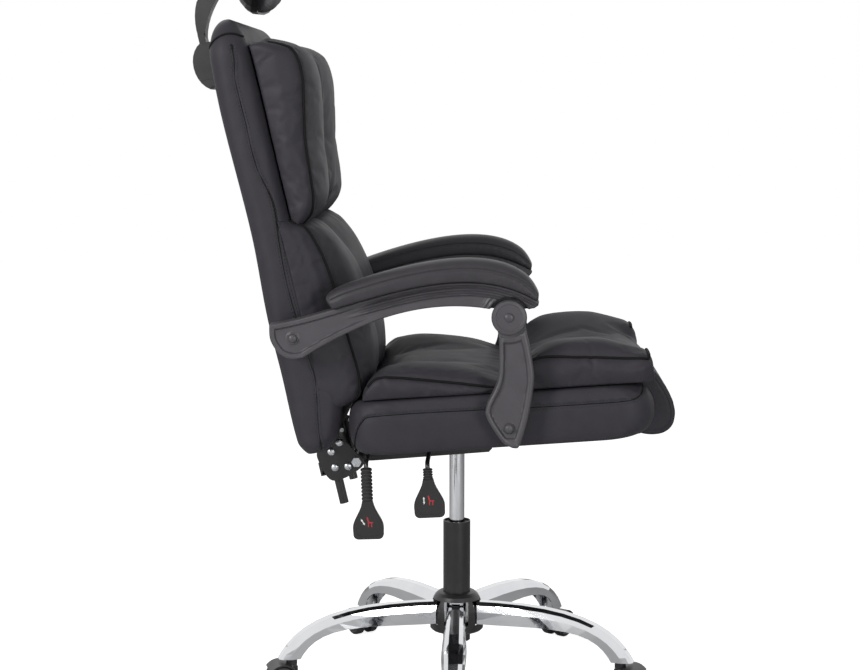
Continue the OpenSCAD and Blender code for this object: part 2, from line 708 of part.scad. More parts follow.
// A row of the cushion: it draws in towards the crest and the bottom edge
function back_ring(q) = let (
    up = max(q - 722, 0) / 62,
    down = max(60 - q, 0) / 24,
    in_p = 26 * (1 - sqrt(1 - up ^ 2)) + 7 * (1 - sqrt(1 - min(down, 1) ^ 2)),
    in_y = 60 * (1 - sqrt(max(1 - up ^ 2, 0))) + 12 * down ^ 2,
    a = curve(rear_face, q) * back_rear_t / 36 + in_p,
    b = curve(front_face, q) - in_p,
    r = min(26, (b - a) / 2 - 0.1),
    pull = 5 * sin(180 * hold((q - 60) / 660, 0, 1)))
    [for (p = rounded((b - a) / 2, back_w / 2 - in_y - pull, r, 5))
        [(a + b) / 2 + p[0], p[1], back_q(q)]];

arm_p = 5;
arm_q = 243;
arm_tube_d = 22;
head_plate_q = back_top - 79;
frame_high = head_plate_q - 5;
frame_low = -83;
cross_bars = [470, head_plate_q - 65];

module frame_bars(c) {
    both_sides() translate([0, upright_y, frame_low])
        cylinder(d = upright_d + 2 * c, h = frame_high - frame_low + c);
    translate([arm_p, 0, arm_q]) bar_y(arm_tube_d + 2 * c, back_w - 12 + 20 * c);
    for (q = cross_bars) translate([0, 0, q]) bar_y(upright_d + 2 * c, 2 * upright_y);
    translate([-6 - c, -45 - c, head_plate_q - 75 - c]) cube([4 + 2 * c, 90 + 2 * c, 90 + 2 * c]);
}

head_studs = [-22, 22];

module back_frame() {
    color(satin) at_back() difference() {
        frame_bars(0);
        both_sides() translate([0, upright_y, frame_low - 1])
            cylinder(d = upright_d - 4, h = frame_high - frame_low - 2);
        translate([arm_p, 0, arm_q]) bar_y(arm_bolt_d + 2 * snug, back_w + 20);
        for (s = head_studs) translate([0, s, head_plate_q]) rotate([0, 90, 0])
            cylinder(d = 8 + 2 * snug, h = 40, center = true);
        for (b = tube_bolts) both_sides() translate([b[0], upright_y, b[1]]) bar_y(8 + 2 * snug,
            upright_d + 6);
    }
}

module back_cushion() {
    color(leather) at_back() difference() {
        loft([for (q = back_rows) back_ring(q)]);
        frame_bars(ease);
        both_sides() slab(inset(cheek_outline(), -ease), cheek_in - ease, cheek_out + ease);
        for (s = head_studs) translate([-30, s, head_plate_q]) rotate([0, 90, 0])
            cylinder(d = 8 + 2 * ease, h = 60, center = true);
    }
}

// Bracket bolts: two through each upright, two more through the cheek, all [forward, up] of the back
tube_bolts = [[0, 14], [0, -15]];
cheek_bolts = [[23, -18], [18, 27]];

function cheek_outline() = let (e = turn(hinge - back_root, -back_lean),
    r = hinge_eye_d / 2) reversed(around([
    [-26, 2], [-14, -34], [10, -38], e + [4, -r], e + [r, -1], e + [5, r - 1], [20, 34], [-4, 38],
        [-24, 20]], 5));

module cheek(y0, y1) {
    slab(cheek_outline(), y0, y1);
}

module back_bracket() {
    color(black) difference() {
        union() {
            at_back() both_sides() cheek(cheek_in, cheek_out);
            at_back() translate([-22, 0, -14]) difference() {
                cube([12, 2 * cheek_in + 2, 24], center = true);
                translate([3, 0, 0]) cube([12, 2 * cheek_in + 3, 19], center = true);
            }
        }
        translate([hinge[0], 0, hinge[1]]) bar_y(axle_bar_d + 2 * run, 4 * cheek_out);
        at_back() both_sides() for (b = concat(tube_bolts, cheek_bolts))
            translate([b[0], cheek_in, b[1]]) bar_y(8 + 2 * snug, 4 * cheek_t);
    }
}

// A domed head on a shank, along +Y from the face that it sits on
module dome_bolt(d, head_d, length) {
    rotate([-90, 0, 0]) {
        translate([0, 0, -length]) cylinder(d = d, h = length + 0.5);
        rotate_extrude() polygon(concat([[0, 0], [head_d / 2, 0]],
            [for (a = [0 : 15 : 90]) [head_d / 2 * cos(a), 1.2 + head_d * 0.27 * sin(a)]]));
    }
}

module bracket_bolts() {
    color(steel) at_back() both_sides() {
        for (b = tube_bolts) translate([b[0], cheek_out, b[1]]) dome_bolt(8, 14, upright_d + cheek_t);
        for (b = cheek_bolts) translate([b[0], cheek_out, b[1]]) dome_bolt(8, 14, cheek_t);
    }
}

// Pillows: place of the piping, swell of the lobes over it, both along the back
upper_pipe = [[420, 66], [438, 78], [458, 85], [490, 89], [557, 95], [624, 108], [663, 115],
    [702, 112], [732, 86]];
upper_swell = [[420, 3], [440, 6], [460, 15], [476, 20], [547, 23], [600, 27], [690, 18], [722, 14],
    [732, 12]];
lumbar_pipe = [[108, 84], [154, 91], [222, 88], [305, 85], [357, 79], [392, 70], [412, 60]];
lumbar_swell = [[108, 12], [166, 26], [197, 34], [284, 38], [329, 34], [383, 29], [412, 10]];

function lobe(v, floor) = v < 0.5 ? mix(floor, 1, 1 - ((0.5 - v) / 0.5) ^ 2.2)
    : 1 - ((v - 0.5) / 0.5) ^ 2.6;
lobe_places = [0, 0.06, 0.16, 0.3, 0.5, 0.68, 0.82, 0.93, 1];

// Row at q: f shrinks it towards its flat back at a rounded end
function pillow_ring(q, f, pipe, swell, floor, draw) = let (
    back = lined(front_face, q) + 0.5,
    hw = pillow_hw - draw,
    edge_p = mix(back, curve(pipe, q), f),
    half = concat([for (v = lobe_places) [edge_p + f * curve(swell, q) * lobe(v, floor), v * hw]],
        [[mix(edge_p, back, 0.5), hw + 9 * f], [back, hw + 10 * f]]),
    all = concat(half, [[back, hw * 0.5], [back, 0], [back, -hw * 0.5]],
        [for (i = [len(half) - 1 : -1 : 1]) [half[i][0], -half[i][1]]]))
    [for (p = all) [p[0], p[1], back_q(q)]];

module upper_pillow() {
    rows = concat([[420, 0.55, 10], [428, 0.85, 4], [438, 1, 0]],
        [for (q = [444 : row : 700]) [q, 1, 0]],
        [[708, 0.97, 3], [722, 0.85, 10], [732, 0.6, 22]]);
    color(leather) at_back() loft([for (r = rows) pillow_ring(r[0], r[1], upper_pipe, upper_swell,
        0.3, r[2])]);
}

module lumbar_pillow() {
    rows = concat([[108, 0.7, 16], [114, 0.93, 6]], [for (q = [132 : row : 396]) [q, 1, 0]],
        [[404, 0.9, 2], [412, 0.6, 6]]);
    color(leather) at_back() loft([for (r = rows) pillow_ring(r[0], r[1], lumbar_pipe,
        lumbar_swell, 0.72, r[2])]);
}

// Headrest

slot_p = -66;
bar_t = 12;
bar_w = 38;
mount_low = head_plate_q - 21;
mount_high = mount_low + 84;
mount_hw = 34;
head_pin = [-2, head_plate_q + 167];
eye_r = 10;
head_mid = 46;
head_depth = 62;
shell_t = 4;

module upper_cushion() {
    loft([for (q = back_rows) if (q > 650) back_ring(q)]);
}

module headrest_mount() {
    side = concat(bez_line([[-70, mount_low], [-98, mount_low + 18], [-98, mount_high - 14],
        [-68, mount_high]], 10),
        [[-22, mount_high - 6], [-22, mount_low + 6]]);
    color(black) at_back() difference() {
        union() {
            difference() {
                slab(side, -mount_hw + 3, mount_hw - 3);
                translate([-ease, 0, 0]) upper_cushion();
            }
            difference() {
                slab(inset(side, 3), -mount_hw, mount_hw);
                translate([-ease - 3, 0, 0]) upper_cushion();
            }
            for (s = head_studs) translate([-44, s, head_plate_q])
                rotate([0, 90, 0]) cylinder(d = 8, h = 42);
        }
        translate([slot_p - bar_t / 2 - ease, -bar_w / 2 - ease, mount_low + 6])
            cube([bar_t + 2 * ease, bar_w + 2 * ease, mount_high]);
        translate([-130, -60, mount_low + 17]) difference() {
            cube([94, 120, 1.2]);
            translate([0, 60 - mount_hw + 1, -1]) cube([94, 2 * mount_hw - 2, 4]);
        }
    }
}

module headrest_arm() {
    bar_low = mount_low + 8;
    neck = mount_high + 8;
    rear = bez_line([[slot_p - bar_t / 2, neck + 2], [slot_p - 10, head_pin[1] - 50],
        [head_pin[0] - 54, head_pin[1] - 4], head_pin + [-9, 8]], 10);
    front = bez_line([head_pin + [3, -9], head_pin + [-12, -26], [slot_p + 16, head_pin[1] - 52],
        [slot_p + bar_t / 2, neck]], 10);
    outline = concat([[slot_p - bar_t / 2, bar_low]], rear, front, [[slot_p + bar_t / 2, bar_low]]);
    color(satin) at_back() difference() {
        union() {
            slab(outline, -11, 11);
            translate([slot_p - bar_t / 2, -bar_w / 2, bar_low]) cube([bar_t, bar_w,
                neck + 8 - bar_low]);
            slab([for (p = outline) if (p[1] > neck - 6 && p[1] < neck + 70) p], -bar_w / 2 + 4,
                bar_w / 2 - 4);
            translate([head_pin[0], 0, head_pin[1]]) bar_y(2 * eye_r, 22);
        }
        translate([head_pin[0], 0, head_pin[1]]) bar_y(pin_d + 2 * snug, 60);
    }
}

module headrest_pin() {
    color(steel) at_back() translate([head_pin[0], 0, head_pin[1]]) bar_y(pin_d, 38);
}

// The headrest bows forward at its ends; sections are ovals in forward and up
function head_bow(y) = 22 * (y / 140) ^ 2;
function head_oval(y, f, grow, a) = let (
    hp = head_depth / 2 * f + grow,
    hq = head_h / 2 * (0.25 + 0.75 * f) + grow)
    [head_mid + head_bow(y) + hp * sign(cos(a)) * abs(cos(a)) ^ 0.8, y,
     head_pin[1] + 2 + hq * sign(sin(a)) * abs(sin(a)) ^ 0.75];
head_stations = [-1, -0.94, -0.82, -0.62, -0.35, 0, 0.35, 0.62, 0.82, 0.94, 1];
function head_fill(s) = (1.001 - abs(s) ^ 3.2) ^ 0.45;

module headrest_cushion() {
    color(leather) at_back() loft([for (s = head_stations)
        [for (k = [0 : 19]) head_oval(s * head_w / 2, max(head_fill(s), 0.22), 0, k * 18)]]);
}

module headrest_shell() {
    arc = [for (k = [0 : 10]) 106 + k * 16];
    color(black) at_back() difference() {
        union() {
            loft([for (s = head_stations) if (abs(s) < 0.9) let (y = s * head_w / 2,
                f = head_fill(s)) concat(
                [for (a = arc) head_oval(y, f, ease, a)],
                [for (a = reversed(arc)) head_oval(y, f, ease + shell_t, a)])], channel = true);
            both_sides() translate([0, 11.4, 0]) {
                translate([head_pin[0], 4, head_pin[1]]) bar_y(2 * eye_r, 7);
                translate([head_pin[0], 0.5, head_pin[1] - eye_r])
                    cube([head_mid - head_depth / 2 + 2 - head_pin[0] - 1.5, 7, 2 * eye_r]);
            }
        }
        translate([head_pin[0], 0, head_pin[1]]) bar_y(pin_d + 2 * run, 60);
    }
}

// Armrests: rear pivot on the back frame, foot on the seat, elbow between them

arm_pivot = back_point([arm_p, arm_q]);
elbow = arm_pivot + [359, 36];
back_clear = 14;
arm_in = max(seat_w / 2 + arm_gap, back_w / 2 + back_clear);
arm_out = arm_in + arm_t;
post_out = arm_in + post_t;
head_in = arm_in + 13;
lug_r = 24;
head_r = 27;
clear_r = cap_d / 2 + elbow_play;
elbow_pin_d = arm_bolt_d + 2;
arm_top = [arm_pivot + [-39, 23], arm_pivot + [81, 38], elbow + [-85, 113], elbow + [49, 27]];
arm_low = [arm_pivot + [17, -32], arm_pivot + [127, 38], elbow + [-134, 29], elbow + [-34, 14]];
arm_heel = [arm_pivot + [17, -32], arm_pivot + [-2, -34], arm_pivot + [-22, -26],
    arm_pivot + [-37, -3], arm_pivot + [-39, 23]];
arm_nose = [elbow + [49, 27], elbow + [44, 19], elbow + [32, 12]];

function trimmed(v) = [for (i = [1 : len(v) - 2]) v[i]];
function arm_outline() = concat(bez_line(arm_top, 20), [arm_nose[1], arm_nose[2]],
    reversed(bez_line(arm_low, 16)), trimmed(through(arm_heel, 4)));

// A line that runs along the arch, at a share of the way from its top edge to its lower edge
function along(f, t) = mix(bez(arm_top, mix(0.1, 0.93, t)), bez(arm_low, t), f);
module groove(f0, f1, t0, t1, depth) {
    n = 14;
    slab(concat([for (i = [0 : n]) along(f0, mix(t0, t1, i / n))],
        [for (i = [n : -1 : 0]) along(f1, mix(t0, t1, i / n))]), arm_out - depth, arm_out + 5);
}

// Recess round the rear bolt
rear_panel = [for (v = [[-34, 18], [-8, 26], [52, 37], [50, -5], [14, -26], [-1, -28], [-18, -22],
    [-33, -3]])
    arm_pivot + v];

module arm_frame() {
    color(satin) difference() {
        union() {
            slab(arm_outline(), arm_in, arm_out - 3);
            slab(inset(arm_outline(), 2.2), arm_out - 4, arm_out);
            translate([arm_pivot[0], mix(back_w / 2, arm_in, 0.5), arm_pivot[1]])
                bar_y(30, arm_in - back_w / 2 + 5 - ease);
        }
        translate([elbow[0], head_in - ease + 50, elbow[1]]) bar_y(2 * clear_r, 100);
        groove(0.16, 0.27, 0.3, 1, 2);
        groove(0.45, 0.56, 0.34, 1, 2);
        groove(0.72, 0.95, 0.42, 0.97, 5);
        slab(rear_panel, arm_out - 2.5, arm_out + 5);
        translate([arm_pivot[0], arm_in, arm_pivot[1]]) bar_y(arm_bolt_d + 2 * run, 120);
    }
    color(satin) difference() {
        union() {
            translate([elbow[0], mix(arm_in, head_in - ease, 0.5), elbow[1]]) bar_y(2 * lug_r,
                head_in - ease - arm_in);
            slab([elbow + [-30, 0], elbow + [-34, 16], elbow + [32, 16], elbow + [22, 0]], arm_in,
                head_in - ease);
        }
        translate([elbow[0], arm_in, elbow[1]]) bar_y(elbow_pin_d + 2 * elbow_play, 60);
    }
}

post_left = [elbow + [-16, -22], elbow + [-17, -40], elbow + [-18, -103], post_foot + [-37, 40],
    post_foot + [-37, 17],
    post_foot + [-12, -22], post_foot + [4, -32]];
post_right = [post_foot + [16, -31], post_foot + [24, -10], post_foot + [34, 30], elbow + [42, -103],
    elbow + [36, -56], elbow + [27, -20]];

function post_outline() = concat(through(reversed(post_right), 5), through(reversed(post_left), 5));
function post_panel() = concat(
    through([elbow + [20, -44], elbow + [33, -103], post_foot + [27, 28], post_foot + [10, -15]], 6),
    through([post_foot + [0, -16], post_foot + [-28, 18], elbow + [-10, -103], elbow + [-7, -44]], 6));

module arm_post() {
    color(satin) difference() {
        union() {
            difference() {
                union() {
                    slab(post_outline(), arm_in, post_out - 2.5);
                    slab(inset(post_outline(), 2), post_out - 3, post_out);
                }
                translate([elbow[0], arm_in, elbow[1]]) bar_y(2 * (head_r + 7), 4 * post_t);
            }
            translate([elbow[0], mix(head_in, post_out - 2, 0.5), elbow[1]]) bar_y(2 * head_r,
                post_out - 2 - head_in);
            slab([elbow + [-17, -4], elbow + [27, -4], elbow + [33, -42], elbow + [-16, -42]],
                head_in, post_out - 2);
        }
        slab(post_panel(), post_out - 2.6, post_out + 5);
        translate([elbow[0], arm_in, elbow[1]]) bar_y(elbow_pin_d + 2 * snug, 100);
        translate([post_foot[0], arm_in, post_foot[1]]) bar_y(arm_bolt_d + 2 * run, 100);
    }
}

module elbow_cap() {
    face = post_out - 2 + 0.2;
    color(satin) translate([elbow[0], face, elbow[1]]) {
        rotate([-90, 0, 0]) rotate_extrude() polygon(concat(
            [[0, 0], [cap_d / 2 - 2, 0], [cap_d / 2, 2], [cap_d / 2, 5], [cap_d / 2 - 2, 7],
                [cap_d / 2 - 7, 8],
             [cap_d / 2 - 8, 7.2], [9, 8]],
            [for (a = [0 : 15 : 90]) [8 * cos(a), 8 + 3.5 * sin(a)]]));
        rotate([90, 0, 0]) translate([0, 0, -1]) cylinder(d = elbow_pin_d, h = face - arm_in + 0.5);
    }
}

module arm_bolts() {
    panel = arm_out - 2.5;
    color(satin) both_sides() translate([arm_pivot[0], panel + 0.1, arm_pivot[1]])
        dome_bolt(arm_bolt_d, 15, panel - back_w / 2 + 30);
}

module post_bolts() {
    panel = post_out - 2.6;
    color(satin) both_sides() translate([post_foot[0], panel + 0.1, post_foot[1]])
        dome_bolt(arm_bolt_d, 15, panel - rail_y);
}

// Arm pad: sections along the arch, flat underneath, crowned on top
pad_top_line = [arm_pivot + [48, 76], arm_pivot + [186, 130], elbow + [-2, 136], elbow + [50, 46]];
pad_steps = [0, 0.012, 0.04, 0.1, 0.2, 0.32, 0.44, 0.56, 0.68, 0.79, 0.88, 0.94, 0.975, 1];
function pad_end(t) = min(1, 0.45 + 0.55 * sqrt(1 - (1 - min(t / 0.1, 1)) ^ 2)) * min(1,
    0.5 + 0.5 * sqrt(1 - (1 - min((1 - t) / 0.12, 1)) ^ 2));
function arm_pad_ring(t) = let (
    low = bez(arm_top, mix(0.26, 0.995, t)) + [0, 0.9],
    high = bez(pad_top_line, t),
    f = pad_end(t),
    top = mix(low, high, 0.25 + 0.75 * f),
    hw = pad_w / 2 * (0.5 + 0.5 * f),
    mid = (arm_in + arm_out) / 2 + 4)
    concat(
        [for (k = [0 : 9]) let (a = 180 * k / 9, s = max(sin(a), 0) ^ 0.55,
            c = sign(cos(a)) * abs(cos(a)) ^ 0.7)
            let (p = mix(mix(low, top, 0.3), top, s)) [p[0], mid + hw * c, p[1]]],
        [for (v = [-0.9, -0.45, 0, 0.45, 0.9]) [low[0], mid + hw * v, low[1]]]);

module arm_pad() {
    color(dark_leather) loft([for (t = pad_steps) arm_pad_ring(t)]);
}

// Each piece on its own

castor_stems();
castor_hood(0);  // castor_hood_1
castor_hood(1);  // castor_hood_2
castor_hood(2);  // castor_hood_3
castor_hood(3);  // castor_hood_4
castor_hood(4);  // castor_hood_5
castor_axle(0);  // castor_axle_1
castor_axle(1);  // castor_axle_2
castor_axle(2);  // castor_axle_3
castor_axle(3);  // castor_axle_4
castor_axle(4);  // castor_axle_5
castor_wheel(0, -1);  // castor_wheel_1a
castor_wheel(0, 1);  // castor_wheel_1b
castor_wheel(1, -1);  // castor_wheel_2a
castor_wheel(1, 1);  // castor_wheel_2b
castor_wheel(2, -1);  // castor_wheel_3a
castor_wheel(2, 1);  // castor_wheel_3b
castor_wheel(3, -1);  // castor_wheel_4a
castor_wheel(3, 1);  // castor_wheel_4b
castor_wheel(4, -1);  // castor_wheel_5a
castor_wheel(4, 1);  // castor_wheel_5b
star_base();
hub_cover();
column_tube();
column_bush();
piston_rod();
pressure_tube();
seat_mechanism();
mechanism_bolts();
seat_board();
seat_box();
seat_top_pad();
recline_axle();
lever_rod(lift_x, lift_lean, lift_neck);  // lift_lever_rod
lever_sleeve(lift_x, lift_lean, lift_neck,  // lift_lever_sleeve
    sleeve_d - 3, 4);
lever_paddle(lift_x, lift_lean, lift_neck);  // lift_lever_paddle
lever_rod(recline_x, recline_lean, recline_neck);  // recline_lever_rod
lever_sleeve(recline_x, recline_lean,  // recline_lever_sleeve
    recline_neck, sleeve_d, 9);
lever_paddle(recline_x, recline_lean, recline_neck);  // recline_lever_paddle
back_bracket();
bracket_bolts();
back_frame();
back_cushion();
upper_pillow();
lumbar_pillow();
headrest_mount();
headrest_arm();
headrest_pin();
headrest_shell();
headrest_cushion();
arm_frame();  // arm_frame_left
mirror([0, 1, 0]) arm_frame();  // arm_frame_right
arm_pad();  // arm_pad_left
mirror([0, 1, 0]) arm_pad();  // arm_pad_right
arm_post();  // arm_post_left
mirror([0, 1, 0]) arm_post();  // arm_post_right
elbow_cap();  // elbow_cap_left
mirror([0, 1, 0]) elbow_cap();  // elbow_cap_right
arm_bolts();
post_bolts();
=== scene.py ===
"""Office chair: the looks of every piece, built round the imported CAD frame.

All sizes are millimetres in the chair's frame: +X is the front, +Z is up, and the origin is on the floor
under the column. Meshes are turned to metres when they are made.
"""

import math

import bmesh
import bpy
import numpy as np
from mathutils import Matrix, Vector


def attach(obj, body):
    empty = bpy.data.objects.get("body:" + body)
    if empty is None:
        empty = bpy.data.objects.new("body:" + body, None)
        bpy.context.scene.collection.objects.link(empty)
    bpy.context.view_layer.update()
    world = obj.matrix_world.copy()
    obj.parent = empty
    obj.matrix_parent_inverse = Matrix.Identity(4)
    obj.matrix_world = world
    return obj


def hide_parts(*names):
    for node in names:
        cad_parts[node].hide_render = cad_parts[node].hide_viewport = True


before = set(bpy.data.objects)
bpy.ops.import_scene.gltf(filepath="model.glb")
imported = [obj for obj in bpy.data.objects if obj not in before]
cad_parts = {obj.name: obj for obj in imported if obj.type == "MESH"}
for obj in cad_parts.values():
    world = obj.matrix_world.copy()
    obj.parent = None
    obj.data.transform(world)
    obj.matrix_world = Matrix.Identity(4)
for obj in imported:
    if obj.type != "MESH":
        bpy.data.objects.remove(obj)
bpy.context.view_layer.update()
scene = bpy.context.scene
scene.view_settings.view_transform = "Standard"

# Places and sizes that the CAD gives too
SEAT_Z, SEAT_TILT = 472.0, math.radians(4.2)
BACK_LEAN = math.radians(13.0)
SEAT_HALF, SEAT_FRONT, SEAT_REAR, SEAT_H = 260.0, 345.0, 178.0, 92.0
BACK_HALF = 250.0
ARM_IN, ARM_OUT, POST_OUT, CAP_IN = 264.0, 300.0, 292.0, 277.0
HINGE_SEAT = (-178.0, -33.0)
ARM_BOLT_BACK = (5.0, 243.0)
ELBOW_FROM_PIVOT = (359.0, 36.0)
POST_FOOT_SEAT = (96.0, 38.0)
HEAD_PIN = (-2.0, 872.0)
ARM_BODY = {"left": "arm_left", "right": "arm_right"}
POST_BODY = {"left": "post_left", "right": "post_right"}


# Smooth lines and tables

def smooth(x, low=0.0, high=1.0):
    """0 below low, 1 above high, and a soft step between."""
    t = np.clip((np.asarray(x, float) - low) / (high - low), 0, 1)
    return t * t * (3 - 2 * t)


def curve(table, x):
    """Smooth value at x of a table of [place, value] knots."""
    knots = np.array(table, float)
    x = np.asarray(x, float)
    i = np.clip(np.searchsorted(knots[:, 0], x, side="right") - 1, 0, len(knots) - 2)
    every = np.arange(len(knots))
    a, b = np.maximum(every - 1, 0), np.minimum(every + 1, len(knots) - 1)
    slope = (knots[b, 1] - knots[a, 1]) / (knots[b, 0] - knots[a, 0])
    h = knots[i + 1, 0] - knots[i, 0]
    t = np.clip((x - knots[i, 0]) / h, 0, 1)
    return ((2 * t**3 - 3 * t**2 + 1) * knots[i, 1] + (t**3 - 2 * t**2 + t) * slope[i] * h
            + (3 * t**2 - 2 * t**3) * knots[i + 1, 1] + (t**3 - t**2) * slope[i + 1] * h)


def bezier(points, t):
    """Places at t, from 0 to 1, on a cubic curve with four control points."""
    p = np.array(points, float)
    t = np.asarray(t, float)[..., None]
    return (1 - t)**3 * p[0] + 3 * (1 - t)**2 * t * p[1] + 3 * (1 - t) * t**2 * p[2] + t**3 * p[3]


def spline(points, n, closed=False):
    """Smooth line through points, n steps in each span."""
    p = np.array(points, float)
    m = len(p)
    spans = m if closed else m - 1
    out = []
    for i in range(spans):
        if closed:
            a, b, c, d = p[(i - 1) % m], p[i], p[(i + 1) % m], p[(i + 2) % m]
        else:
            a, b, c, d = p[max(i - 1, 0)], p[i], p[i + 1], p[min(i + 2, m - 1)]
        for t in np.arange(n) / n:
            out.append(0.5 * (2 * b + (c - a) * t + (2 * a - 5 * b + 4 * c - d) * t**2
                              + (3 * b - a - 3 * c + d) * t**3))
    if not closed:
        out.append(p[-1])
    return np.array(out)


def evenly(line, n):
    """n points spaced evenly along a line of points."""
    line = np.asarray(line, float)
    s = np.concatenate([[0], np.cumsum(np.linalg.norm(np.diff(line, axis=0), axis=1))])
    t = np.linspace(0, s[-1], n)
    return np.stack([np.interp(t, s, line[:, k]) for k in range(line.shape[1])], -1)


def distance(points, line):
    """Distance of each point to a line of points, and how far along the line its foot is."""
    points, line = np.asarray(points, float), np.asarray(line, float)
    flat = points.reshape(-1, points.shape[-1])
    best, along, start = np.full(len(flat), 1e9), np.zeros(len(flat)), 0.0
    for a, b in zip(line[:-1], line[1:]):
        d = b - a
        length = np.linalg.norm(d)
        if length < 1e-9:
            continue
        t = np.clip((flat - a) @ d / length**2, 0, 1)
        r = np.linalg.norm(flat - a - t[:, None] * d, axis=1)
        near = r < best
        best = np.where(near, r, best)
        along = np.where(near, start + t * length, along)
        start += length
    return best.reshape(points.shape[:-1]), along.reshape(points.shape[:-1])


def wobble(x, seed, size=1.0):
    """A smooth random line from -1 to 1 at x, with bumps about as long as size."""
    table = np.random.default_rng(seed).uniform(-1, 1, 512)
    x = np.asarray(x, float) / size + 37.3
    i = np.floor(x).astype(int)
    t = x - i
    t = t * t * (3 - 2 * t)
    return table[i % 512] * (1 - t) + table[(i + 1) % 512] * t


def turned(a, b, angle):
    """Two coordinates turned round their origin."""
    return a * math.cos(angle) - b * math.sin(angle), a * math.sin(angle) + b * math.cos(angle)


def seat_place(along, above):
    """The seat's own along and above, in the chair's X and Z."""
    x, z = turned(np.asarray(along, float), np.asarray(above, float), SEAT_TILT)
    return x, z + SEAT_Z


HINGE = np.array(seat_place(*HINGE_SEAT))
BACK_ROOT = HINGE + np.array([-42.0, 4.0])


def back_place(forward, up):
    """The back's own forward and up, in the chair's X and Z."""
    x, z = turned(np.asarray(forward, float), np.asarray(up, float), BACK_LEAN)
    return x + BACK_ROOT[0], z + BACK_ROOT[1]


def at_seat(along, across, above):
    x, z = seat_place(along, above)
    return np.stack(np.broadcast_arrays(x, across, z), -1).astype(float)


def at_back(forward, across, up):
    x, z = back_place(forward, up)
    return np.stack(np.broadcast_arrays(x, across, z), -1).astype(float)


ARM_PIVOT = np.array(back_place(*ARM_BOLT_BACK))
ELBOW = ARM_PIVOT + np.array(ELBOW_FROM_PIVOT)
POST_FOOT = np.array(seat_place(*POST_FOOT_SEAT))


# Meshes

def grid_faces(rows, cols, wrap_cols=False, wrap_rows=False, first=0):
    """Quads between neighbouring points of a grid."""
    faces = []
    for i in range(rows if wrap_rows else rows - 1):
        for j in range(cols if wrap_cols else cols - 1):
            i2, j2 = (i + 1) % rows, (j + 1) % cols
            corners = (i * cols + j, i * cols + j2, i2 * cols + j2, i2 * cols + j)
            faces.append(tuple(first + corner for corner in corners))
    return faces


def end_fans(rows, cols):
    """Triangles over both ends of a grid of rings, from two middle points that follow the grid's own."""
    last = (rows - 1) * cols
    return ([(rows * cols, (j + 1) % cols, j) for j in range(cols)]
            + [(rows * cols + 1, last + j, last + (j + 1) % cols) for j in range(cols)])


def make(name, points, faces, material=None, angle=None, smooth_faces=True):
    """A mesh object from points in millimetres. Its faces are turned outwards."""
    mesh = bpy.data.meshes.new(name)
    mesh.from_pydata((np.asarray(points, float).reshape(-1, 3) * 0.001).tolist(), [], faces)
    work = bmesh.new()
    work.from_mesh(mesh)
    bmesh.ops.remove_doubles(work, verts=work.verts, dist=2e-6)
    bmesh.ops.recalc_face_normals(work, faces=work.faces)
    work.to_mesh(mesh)
    work.free()
    for polygon in mesh.polygons:
        polygon.use_smooth = smooth_faces
    if angle is not None:
        mesh.set_sharp_from_angle(angle=math.radians(angle))
    piece = bpy.data.objects.new(name, mesh)
    scene.collection.objects.link(piece)
    if material is not None:
        mesh.materials.append(material)
    return piece


def closed_rings(rings, ends=None):
    """Points and faces of a skin over rings, closed at each end from a middle point."""
    rings = np.asarray(rings, float)
    rows, cols = rings.shape[:2]
    ends = [rings[0].mean(0), rings[-1].mean(0)] if ends is None else ends
    return (np.concatenate([rings.reshape(-1, 3), ends]),
            grid_faces(rows, cols, wrap_cols=True) + end_fans(rows, cols))


def tube(line, radius, sides=8, closed=False):
    """Rings of a round bar along a line of points, as points and faces."""
    line = np.asarray(line, float)
    n = len(line)
    tangent = np.roll(line, -1, 0) - np.roll(line, 1, 0) if closed else np.gradient(line, axis=0)
    tangent /= np.linalg.norm(tangent, axis=1)[:, None]
    normal = np.cross(tangent[0], [0.31, 0.17, 0.93])
    normals = []
    for t in tangent:
        normal = normal - t * (normal @ t)
        normal /= np.linalg.norm(normal)
        normals.append(normal)
    normals = np.array(normals)
    sideways = np.cross(tangent, normals)
    radius = np.broadcast_to(np.asarray(radius, float), (n,))
    rings = np.stack([line + radius[:, None] * (np.cos(a) * normals + np.sin(a) * sideways)
                      for a in np.arange(sides) * 2 * math.pi / sides], 1)
    if closed:
        return rings.reshape(-1, 3), grid_faces(n, sides, wrap_cols=True, wrap_rows=True)
    return closed_rings(rings, line[[0, -1]])


def gather(parts):
    """Several (points, faces) as one."""
    points, faces, first = [], [], 0
    for p, f in parts:
        points.append(np.asarray(p, float).reshape(-1, 3))
        faces += [tuple(first + k for k in face) for face in f]
        first += len(points[-1])
    return np.concatenate(points), faces


def mirrored(points):
    """The same on the chair's other side."""
    return np.asarray(points, float) * np.array([1.0, -1.0, 1.0])


def settle(piece, body, slot, *nodes):
    """The piece moves with a CAD body and stands for CAD nodes, which are hidden. slot is not used."""
    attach(piece, body)
    if nodes:
        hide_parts(*nodes)
    return piece


# Camera: fitted to the photograph, whose picture is 860 pixels wide

CAMERA_PLACE = (0.068, -3.25, 1.043)
CAMERA_YAW, CAMERA_PITCH = 2.07, 7.1
FOCAL_PIXELS, PICTURE_WIDTH, SENSOR_MM = 1800, 860, 36


